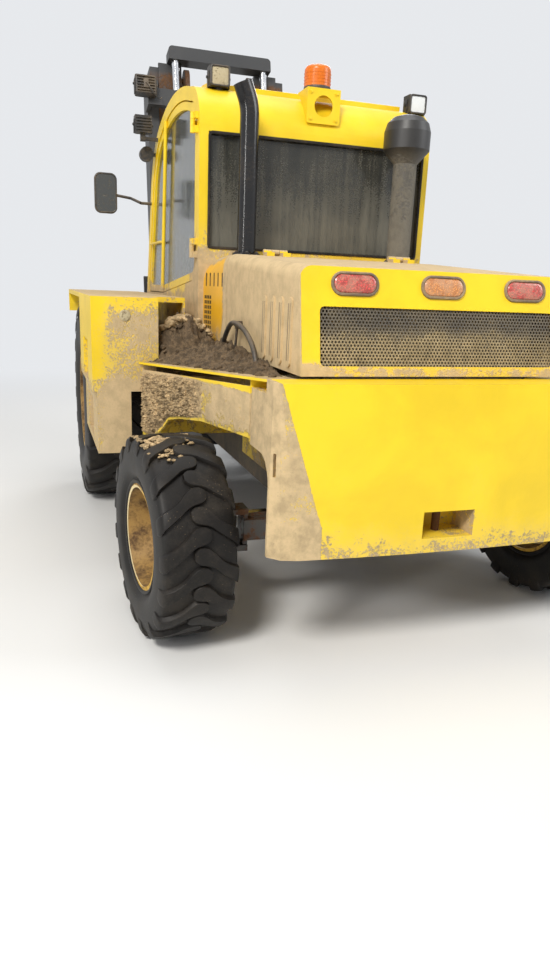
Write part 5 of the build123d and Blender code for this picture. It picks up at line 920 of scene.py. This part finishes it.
for side, label in ((1, "left"), (-1, "right")):
    x, y, z = MAST_LIGHT[0] * side, *MAST_LIGHT[1:]
    cord(f"mast_light_cable_{label}", [
        on_mast(x, y + 0.050, z), on_mast(x, y + 0.068, z - 0.004),
        on_mast(x - side * 0.012, y + 0.092, z - 0.030),
        on_mast(x - side * 0.045, y + 0.092, z - 0.080), on_mast(x - side * 0.085, y + 0.060, z - 0.105),
        on_mast(x - side * 0.110, y + 0.020, z - 0.085), on_mast(x - side * 0.120, y - 0.015, z - 0.060),
    ], 0.007, "mast_body", 8, 10)


# Seat: two stuffed cushions, each with a crown, piping round its edge and two sewn channels
VOXEL = 0.0075
PRESSURE = 4
LAST_STEP = 20
CHANNELS = (-0.42, 0.30)
CHANNEL_WIDE = 0.007
CHANNEL_DEEP = 0.007


def stuffed(name, half, place, cap, flat_below=None):
    """A pad blown up by cloth pressure, every point kept within cap of where it began."""
    shape = bmesh.new()
    made = bmesh.ops.create_cube(shape, size=2)["verts"]
    bmesh.ops.transform(shape, matrix=Matrix.Diagonal((*half, 1)), verts=made)
    round_by = min(half) * 0.55
    bmesh.ops.bevel(shape, geom=shape.edges[:], offset=round_by, segments=5, profile=0.5, affect="EDGES")
    data = bpy.data.meshes.new(name)
    shape.to_mesh(data)
    shape.free()
    pad = bpy.data.objects.new(name, data)
    bpy.context.scene.collection.objects.link(pad)
    remesh = pad.modifiers.new("remesh", "REMESH")
    remesh.mode = "VOXEL"
    remesh.voxel_size = VOXEL
    graph = bpy.context.evaluated_depsgraph_get()
    pad.data = bpy.data.meshes.new_from_object(pad.evaluated_get(graph))
    pad.modifiers.clear()
    count = len(pad.data.vertices)
    start = np.empty(count * 3)
    pad.data.vertices.foreach_get("co", start)
    start = start.reshape(-1, 3)
    cloth = pad.modifiers.new("cloth", "CLOTH")
    cloth.settings.use_pressure = True
    cloth.settings.uniform_pressure_force = PRESSURE
    cloth.settings.effector_weights.gravity = 0
    cloth.settings.quality = 5
    for step in range(1, LAST_STEP + 1):
        bpy.context.scene.frame_set(step)
    graph = bpy.context.evaluated_depsgraph_get()
    result = bpy.data.meshes.new_from_object(pad.evaluated_get(graph))
    blown = np.empty(count * 3)
    result.vertices.foreach_get("co", blown)
    blown = blown.reshape(-1, 3)
    pad.modifiers.clear()
    bpy.context.scene.frame_set(1)
    move = blown - start
    length = np.linalg.norm(move, axis=1)[:, None]
    spots = start + move * np.minimum(1, cap / np.maximum(length, 1e-9))
    # two channels across the face, which looks along the pad's own +Z
    for channel in CHANNELS:
        near = np.exp(-((spots[:, 1] - channel * half[1]) / CHANNEL_WIDE) ** 2) * (spots[:, 2] > 0)
        spots[:, 2] -= CHANNEL_DEEP * near
    world = [place @ Vector(spot) for spot in spots]
    if flat_below is not None:
        world = [Vector((spot.x, spot.y, max(spot.z, flat_below))) for spot in world]
    pad.data.vertices.foreach_set("co", [value for spot in world for value in spot])
    smooth = pad.modifiers.new("subdivision", "SUBSURF")
    smooth.levels = 1
    graph = bpy.context.evaluated_depsgraph_get()
    data = bpy.data.meshes.new_from_object(pad.evaluated_get(graph))
    bpy.data.objects.remove(pad)
    data.materials.clear()
    cushion = put(name, data, seat_weave, "chassis", smooth=False)
    data.shade_smooth()
    tree = BVHTree.FromObject(cushion, bpy.context.evaluated_depsgraph_get())
    middle = place @ Vector((0, 0, 0))
    rim = []
    for a, b in rounded(half[0], half[1], min(half[0], half[1]) * 0.35, 9):
        way = (place.to_3x3() @ Vector((a, b, 0))).normalized()
        spot, normal, _, _ = tree.ray_cast(middle + way * 1.0, -way)
        rim.append(spot - way * 0.001)
    tube(f"{name}_piping", rim, 0.0035, seat_vinyl, "chassis", sides=8, closed=True)
    return cushion


SWELL = 0.012
SEAT_LOW = 1.4006
seat_spot = Matrix.Translation((0, 0.354, 1.4555))
lean_back = Matrix.Rotation(math.radians(-8.75), 4, "X")
upright = Matrix.Rotation(math.radians(90), 4, "X")
back_spot = Matrix.Translation((0, 0.6193, 1.735)) @ lean_back @ upright
seat_pad = stuffed("seat_cushion", (0.224, 0.150, 0.041), seat_spot, SWELL, SEAT_LOW)
stuffed("seat_back", (0.224, 0.279, 0.040), back_spot, SWELL)
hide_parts("seat")


# Black plates on the cowl's square vents and the slots above them: painted shade of their dark openings
COWL_FRONT = 0.835
COWL_HALF = 0.606
COWL_TAPER = 0.1238
COWL_TURN = math.radians(7.06)
slots = Solids()
for side in (1, -1):
    turn = Matrix.Rotation(side * COWL_TURN, 4, "Z")
    spots_open = [(0.880 + 0.056 * k, 1.446, 0.012, 0.064) for k in range(5)]
    spots_open += [(0.866 + 0.026 * k, 1.160 + 0.025 * n, 0.0165, 0.0165) for k in range(4) for n in range(9)]
    for y, z, wide, tall in spots_open:
        half = COWL_HALF - (y - COWL_FRONT) * COWL_TAPER
        slots.box((side * (half + 0.0002), y, z), (0.0014, wide, tall), turn, bevel=0)
slots.done("cowl_vent_shade", vent_shade_black, "chassis", "black_plastic")


# Bolts, reflectors and dark strips at the louvres, which are painted shadow of the louvre ribs
bolts = Solids()
for k in range(6):
    angle = math.pi / 3 * k + 0.3
    for x, circle, size, height in ((0.428, 0.058, 0.007, 0.006), (-0.410, 0.064, 0.005, 0.005)):
        spot = (x + circle * math.cos(angle), CAB_REAR + 0.165 + circle * math.sin(angle), 1.5783)
        bolts.bolt(spot, (0, 0, 1), size, height)
bolts.done("cab_bolts", iron, "chassis", "dark_paint")
bracket_bolts = Solids()
for x in (-0.075, 0.065):
    for z in (2.255, 2.380):
        bracket_bolts.bolt((x, CAB_REAR + 0.0083, z), (0, 1, 0), 0.007, 0.004)
bracket_bolts.done("bracket_bolts", paint_cab, "chassis", "yellow_paint")
reflectors = Solids()
for side in (1, -1):
    reflectors.rod((side * 1.045, 1.1347, 1.268), (side * 1.045, 1.1400, 1.268), 0.026, sides=32, bevel=0.002)
reflectors.done("box_reflectors", cream_lens, "chassis", "window_glass")

# Two dark dusty strips along each louvre rib on both sides of the hood: painted shadow of the ribs
shadow_strips = Solids()
for side in (1, -1):
    for k in range(4):
        shadow_strips.box((side * 0.5735, 2.1197 - 0.105 * k - 0.010, 1.265), (0.0012, 0.007, 0.205), bevel=0.0005)
        shadow_strips.box((side * 0.5735, 2.1197 - 0.105 * k + 0.010, 1.265), (0.0012, 0.003, 0.205), bevel=0.0005)
shadow_strips.done("louvre_shadow_strips", louvre_shadow_dust, "hood_body", "dark_paint")


# Dried mud, the deck hose and loose lumps
def rough(spot, size):
    """Lumps of loose soil at a place, about -1 to 1."""
    return noise.fractal(Vector(spot) / size, 0.9, 2.2, 5)


def crust(name, columns, rows, place, thick, way, look, size=0.05, lumps=0.5, body="chassis"):
    """A lumpy layer of mud. place(u, v) lies on what carries it and thick(u, v) is its height along way."""
    way = Vector(way)
    top, under = [], []
    for row in range(rows + 1):
        for column in range(columns + 1):
            u, v = column / columns, row / rows
            spot = Vector(place(u, v))
            rise = thick(u, v)
            if rise > 0:
                grain = min(rise, 0.012) * rough(spot, size * 0.28)
                rise = max(0.0, rise * (1 + lumps * rough(spot, size)) + grain)
            top.append(spot + way * (rise - 0.002))
            under.append(spot - way * 0.005)
    stride = columns + 1
    count = len(top)
    faces = []
    for row in range(rows):
        for column in range(columns):
            k = row * stride + column
            faces.append((k, k + 1, k + stride + 1, k + stride))
            faces.append((count + k, count + k + stride, count + k + stride + 1, count + k + 1))
    ring = [k for k in range(columns)] + [columns + stride * k for k in range(rows)]
    ring += [stride * rows + columns - k for k in range(columns)] + [stride * (rows - k) for k in range(rows)]
    for k, a in enumerate(ring):
        b = ring[(k + 1) % len(ring)]
        faces.append((b, a, count + a, count + b))
    return from_arrays(name, top + under, faces, look, body)


def hump(t, start, top_from, top_to, end):
    """0 outside start and end, 1 between the tops, smooth in between."""
    if t <= start or t >= end:
        return 0.0
    share = 1.0
    if t < top_from:
        share = (t - start) / (top_from - start)
    elif t > top_to:
        share = (end - t) / (end - top_to)
    return share * share * (3 - 2 * share)


# Left deck, from its rear end to its front: height of its top and half width
DECK_REAR = 2.2417
DECK_LONG = 1.1067


def deck_top(y):
    return 1.107 - 0.054 * (DECK_REAR - y) / DECK_LONG


def deck_out(y):
    return 0.652 + 0.328 * (DECK_REAR - y) / DECK_LONG


def heap_place(u, v):
    y = 1.137 + v * 0.98
    return 0.569 + u * (deck_out(y) - 0.012 - 0.055 * v - 0.569), y, deck_top(y)


def heap_thick(u, v):
    return (0.088 * (1 - v) ** 0.8 + 0.012) * hump(u, -0.6, 0.0, 0.15, 1.0) * hump(v, -0.2, 0.0, 0.75, 1.0)


def mound_place(u, v):
    return 0.575 + u * 0.325, 0.86 + v * 0.36, 1.0


def mound_thick(u, v):
    across = max(0.0, 1 - ((u - 0.5) / 0.53) ** 2) ** 0.55
    return 0.235 * across * hump(v, -0.1, 0.35, 0.55, 1.02)


# Lower edge of the deck's side: Y, height. Then the way that the side looks
SKIRT_EDGE = [
    (1.135, 0.700), (1.240, 0.700), (1.345, 0.770), (1.400, 0.820), (1.500, 0.842), (1.700, 0.866),
    (2.1, 0.866),
]
SKIRT_WAY = (0.9588, 0.2840, 0)


def skirt_place(u, v):
    y = 1.142 + u * 0.60
    for (ya, za), (yb, zb) in zip(SKIRT_EDGE, SKIRT_EDGE[1:]):
        if ya <= y <= yb:
            foot = za + (zb - za) * (y - ya) / (yb - ya)
    head = deck_top(y) - 0.010 - 0.026
    return deck_out(y) - 0.014, y, foot + 0.006 + v * (head - foot - 0.010)


def skirt_thick(u, v):
    return 0.017 * hump(u, -0.02, 0.05, 0.62, 1.0) * hump(v, 0.0, 0.12, 0.88, 1.0)


crust("mud_heap", 60, 130, heap_place, heap_thick, (0, 0, 1), mud_brown, 0.045, 0.42)
crust("mud_mound", 56, 60, mound_place, mound_thick, (0, 0, 1), mud_brown, 0.05, 0.30)
crust("mud_skirt", 150, 90, skirt_place, skirt_thick, SKIRT_WAY, mud_tan, 0.016, 1.0)


cord("deck_hose", [
    (0.600, 1.233, 1.135), (0.600, 1.290, 1.190), (0.600, 1.378, 1.247), (0.602, 1.470, 1.262),
    (0.604, 1.600, 1.250), (0.606, 1.720, 1.215), (0.606, 1.800, 1.165), (0.604, 1.836, 1.105),
], 0.022, "chassis", 10, 14)
clip = Solids()
clip.box((0.583, 1.466, 1.253), (0.030, 0.022, 0.036), bevel=0.003)
clip.rod((0.590, 1.440, 1.150), (0.590, 1.466, 1.240), 0.006, sides=12)
clip.bolt((0.598, 1.466, 1.253), (1, 0, 0), 0.006, 0.005)
clip.done("hose_clip", black_plastic, "chassis", "black_plastic")


def clods(name, spots, look, body="chassis", detail=3):
    """Separate lumps. spots: (place, radius)."""
    mesh = bmesh.new()
    for spot, radius in spots:
        spot = Vector(spot)
        made = bmesh.ops.create_icosphere(mesh, subdivisions=detail, radius=radius)["verts"]
        for vert in made:
            push = 1 + 0.38 * rough(vert.co + spot * 3, radius * 1.1)
            vert.co = Vector((vert.co.x * 1.1, vert.co.y, vert.co.z * 0.72)) * push + spot
    data = bpy.data.meshes.new(name)
    mesh.to_mesh(data)
    mesh.free()
    return put(name, data, look, body)


dice = random.Random(7)
spots_dark = []
for _ in range(70):
    v = dice.random() ** 1.4
    u = dice.uniform(0.02, 0.98)
    x, y, z = heap_place(u, v)
    lift = heap_thick(u, v) * 0.85
    spots_dark.append(((x, y, z + lift), dice.uniform(0.005, 0.016)))
for _ in range(34):
    u, v = dice.uniform(0.15, 0.9), dice.uniform(0.2, 0.95)
    x, y, z = mound_place(u, v)
    spots_dark.append(((x, y, z + mound_thick(u, v) * 0.97), dice.uniform(0.008, 0.022)))
clods("mud_clods", spots_dark, mud_brown)
crown_spots = [((0.800, 1.03, 1.232), 0.040), ((0.745, 1.03, 1.246), 0.040), ((0.690, 1.03, 1.232), 0.036)]
for k in range(46):
    t = (k + dice.random()) / 46
    rise = 0.074 * math.sin(math.pi * min(1, t * 1.05)) ** 0.8
    spot = (0.866 - 0.250 * t, 1.045 + dice.gauss(0, 0.018), 1.186 + rise + dice.gauss(0, 0.006))
    crown_spots.append((spot, dice.uniform(0.010, 0.023)))
clods("mud_crown", crown_spots, mud_tan)
skirt_spots = []
for _ in range(420):
    u, v = dice.uniform(0.03, 0.80) ** 1.15, dice.uniform(0.05, 0.95)
    x, y, z = skirt_place(u, v)
    lift = skirt_thick(u, v) * 0.9
    skirt_spots.append(((x + SKIRT_WAY[0] * lift, y + SKIRT_WAY[1] * lift, z), dice.uniform(0.003, 0.0085)))
clods("skirt_clods", skirt_spots, mud_tan, detail=2)
tyre_spots = []
for _ in range(300):
    across, angle = dice.gauss(0.045, 0.050), math.radians(dice.gauss(-2, 11))
    centre, out, up, ahead = spots["rear_left"]
    way = up * math.cos(angle) + ahead * math.sin(angle)
    radius = dice.uniform(0.003, 0.011)
    reach = 0.4155 - radius * 0.95
    tyre_spots.append((centre + out * max(-0.12, min(0.135, across)) + way * reach, radius))
clods("tyre_clods", tyre_spots, mud_tan, "wheel_rear_left", detail=2)


# Camera, light and floor
CAMERA = Vector((1.4448, 4.6506, 1.4211))
FRAME_HIGH = 976
SENSOR = 36
FOCAL, PITCH, ROLL, YAW = 723.21, 0.2706, -0.0402, 0.3221
heading = Vector((-math.sin(YAW), -math.cos(YAW), 0))
view = heading * math.cos(PITCH) + Vector((0, 0, -math.sin(PITCH)))
right = heading.cross(Vector((0, 0, 1)))
down = view.cross(right)
turned_right = right * math.cos(ROLL) + down * math.sin(ROLL)
turned_down = down * math.cos(ROLL) - right * math.sin(ROLL)
camera_data = bpy.data.cameras.new("camera")
camera_data.sensor_width = SENSOR
camera_data.sensor_fit = "AUTO"
camera_data.lens = FOCAL / FRAME_HIGH * SENSOR
camera_data.clip_end = 200
camera = bpy.data.objects.new("camera", camera_data)
turn = Matrix((turned_right, -turned_down, -view)).transposed().to_4x4()
camera.matrix_world = Matrix.Translation(CAMERA) @ turn
bpy.context.scene.collection.objects.link(camera)
bpy.context.scene.camera = camera


def lamp(name, spot, aim, size, power, color=(1, 1, 1), tall=0.0):
    data = bpy.data.lights.new(name, "AREA")
    data.shape = "RECTANGLE" if tall else "DISK"
    data.size = size
    if tall:
        data.size_y = tall
    data.energy = power
    data.color = color
    obj = bpy.data.objects.new(name, data)
    obj.location = spot
    obj.rotation_euler = (Vector(aim) - Vector(spot)).to_track_quat("-Z", "Y").to_euler()
    bpy.context.scene.collection.objects.link(obj)
    obj.visible_camera = False


lamp("key", (5.5, 8.0, 8.5), (0, 0.6, 1.2), 3.0, 1020, (1.0, 0.97, 0.92))
lamp("strip", (6.2, 5.0, 3.2), (0.43, 1.0, 2.0), 0.35, 85, (1.0, 0.98, 0.95), 2.6)
lamp("fill", (-7.5, 5.0, 6.0), (0, 0, 1.2), 5.0, 300, (0.95, 0.97, 1.0))
lamp("front", (-4.0, -9.0, 6.5), (0, 0, 1.2), 5.0, 300)
lamp("top", (0, 0, 9.5), (0, 0, 0), 6.0, 230)

# Pale backdrop, dimmer as a light on the object than as seen or mirrored
BACKDROP = (0.93, 0.95, 0.98, 1)
BACKDROP_GLOW = 0.86
WORLD_LIGHT = 0.34
world = bpy.data.worlds.new("studio")
world.use_nodes = True
bpy.context.scene.world = world
tree = world.node_tree
background = tree.nodes["Background"]
rays = add_node(tree, "ShaderNodeLightPath").outputs
direct = {0: rays["Is Camera Ray"], 1: rays["Is Transmission Ray"]}
seen = add_node(tree, "ShaderNodeMath", direct, operation="MAXIMUM")
shiny = add_node(tree, "ShaderNodeMath", {0: seen.outputs[0], 1: rays["Is Glossy Ray"]}, operation="MAXIMUM")
strength = add_node(tree, "ShaderNodeMapRange", {0: shiny.outputs[0], 3: WORLD_LIGHT, 4: BACKDROP_GLOW})
tree.links.new(strength.outputs[0], background.inputs[1])
background.inputs[0].default_value = BACKDROP

# Floor, which fades into the backdrop between two distances from the middle
FLOOR_HALF = 40
FADE_FROM = 3.0
FADE_TO = 8.0
floor_data = bpy.data.meshes.new("floor")
corners = [(x * FLOOR_HALF, y * FLOOR_HALF, 0) for x, y in ((-1, -1), (1, -1), (1, 1), (-1, 1))]
floor_data.from_pydata(corners, [], [(0, 1, 2, 3)])
floor = bpy.data.objects.new("floor", floor_data)
bpy.context.scene.collection.objects.link(floor)
floor_look = bpy.data.materials.new("floor")
floor_look.use_nodes = True
tree = floor_look.node_tree
coat = tree.nodes["Principled BSDF"]
coat.inputs["Base Color"].default_value = (0.78, 0.78, 0.77, 1)
coat.inputs["Roughness"].default_value = 0.9
rays = add_node(tree, "ShaderNodeLightPath").outputs
spot = add_node(tree, "ShaderNodeTexCoord").outputs["Object"]
reach = add_node(tree, "ShaderNodeVectorMath", {0: spot}, operation="LENGTH")
fade = {0: reach.outputs["Value"], 1: FADE_FROM, 2: FADE_TO}
far = add_node(tree, "ShaderNodeMapRange", fade, interpolation_type="SMOOTHSTEP")
seen = add_node(tree, "ShaderNodeMath", {0: far.outputs[0], 1: rays["Is Camera Ray"]}, operation="MULTIPLY")
glow = add_node(tree, "ShaderNodeEmission", {"Color": BACKDROP, "Strength": BACKDROP_GLOW})
faded = add_node(tree, "ShaderNodeMixShader", {0: seen.outputs[0], 1: coat.outputs[0], 2: glow.outputs[0]})
tree.links.new(faded.outputs[0], tree.nodes["Material Output"].inputs["Surface"])
floor_data.materials.append(floor_look)
floor.location.z = -0.001

bpy.context.scene.view_settings.view_transform = "Standard"
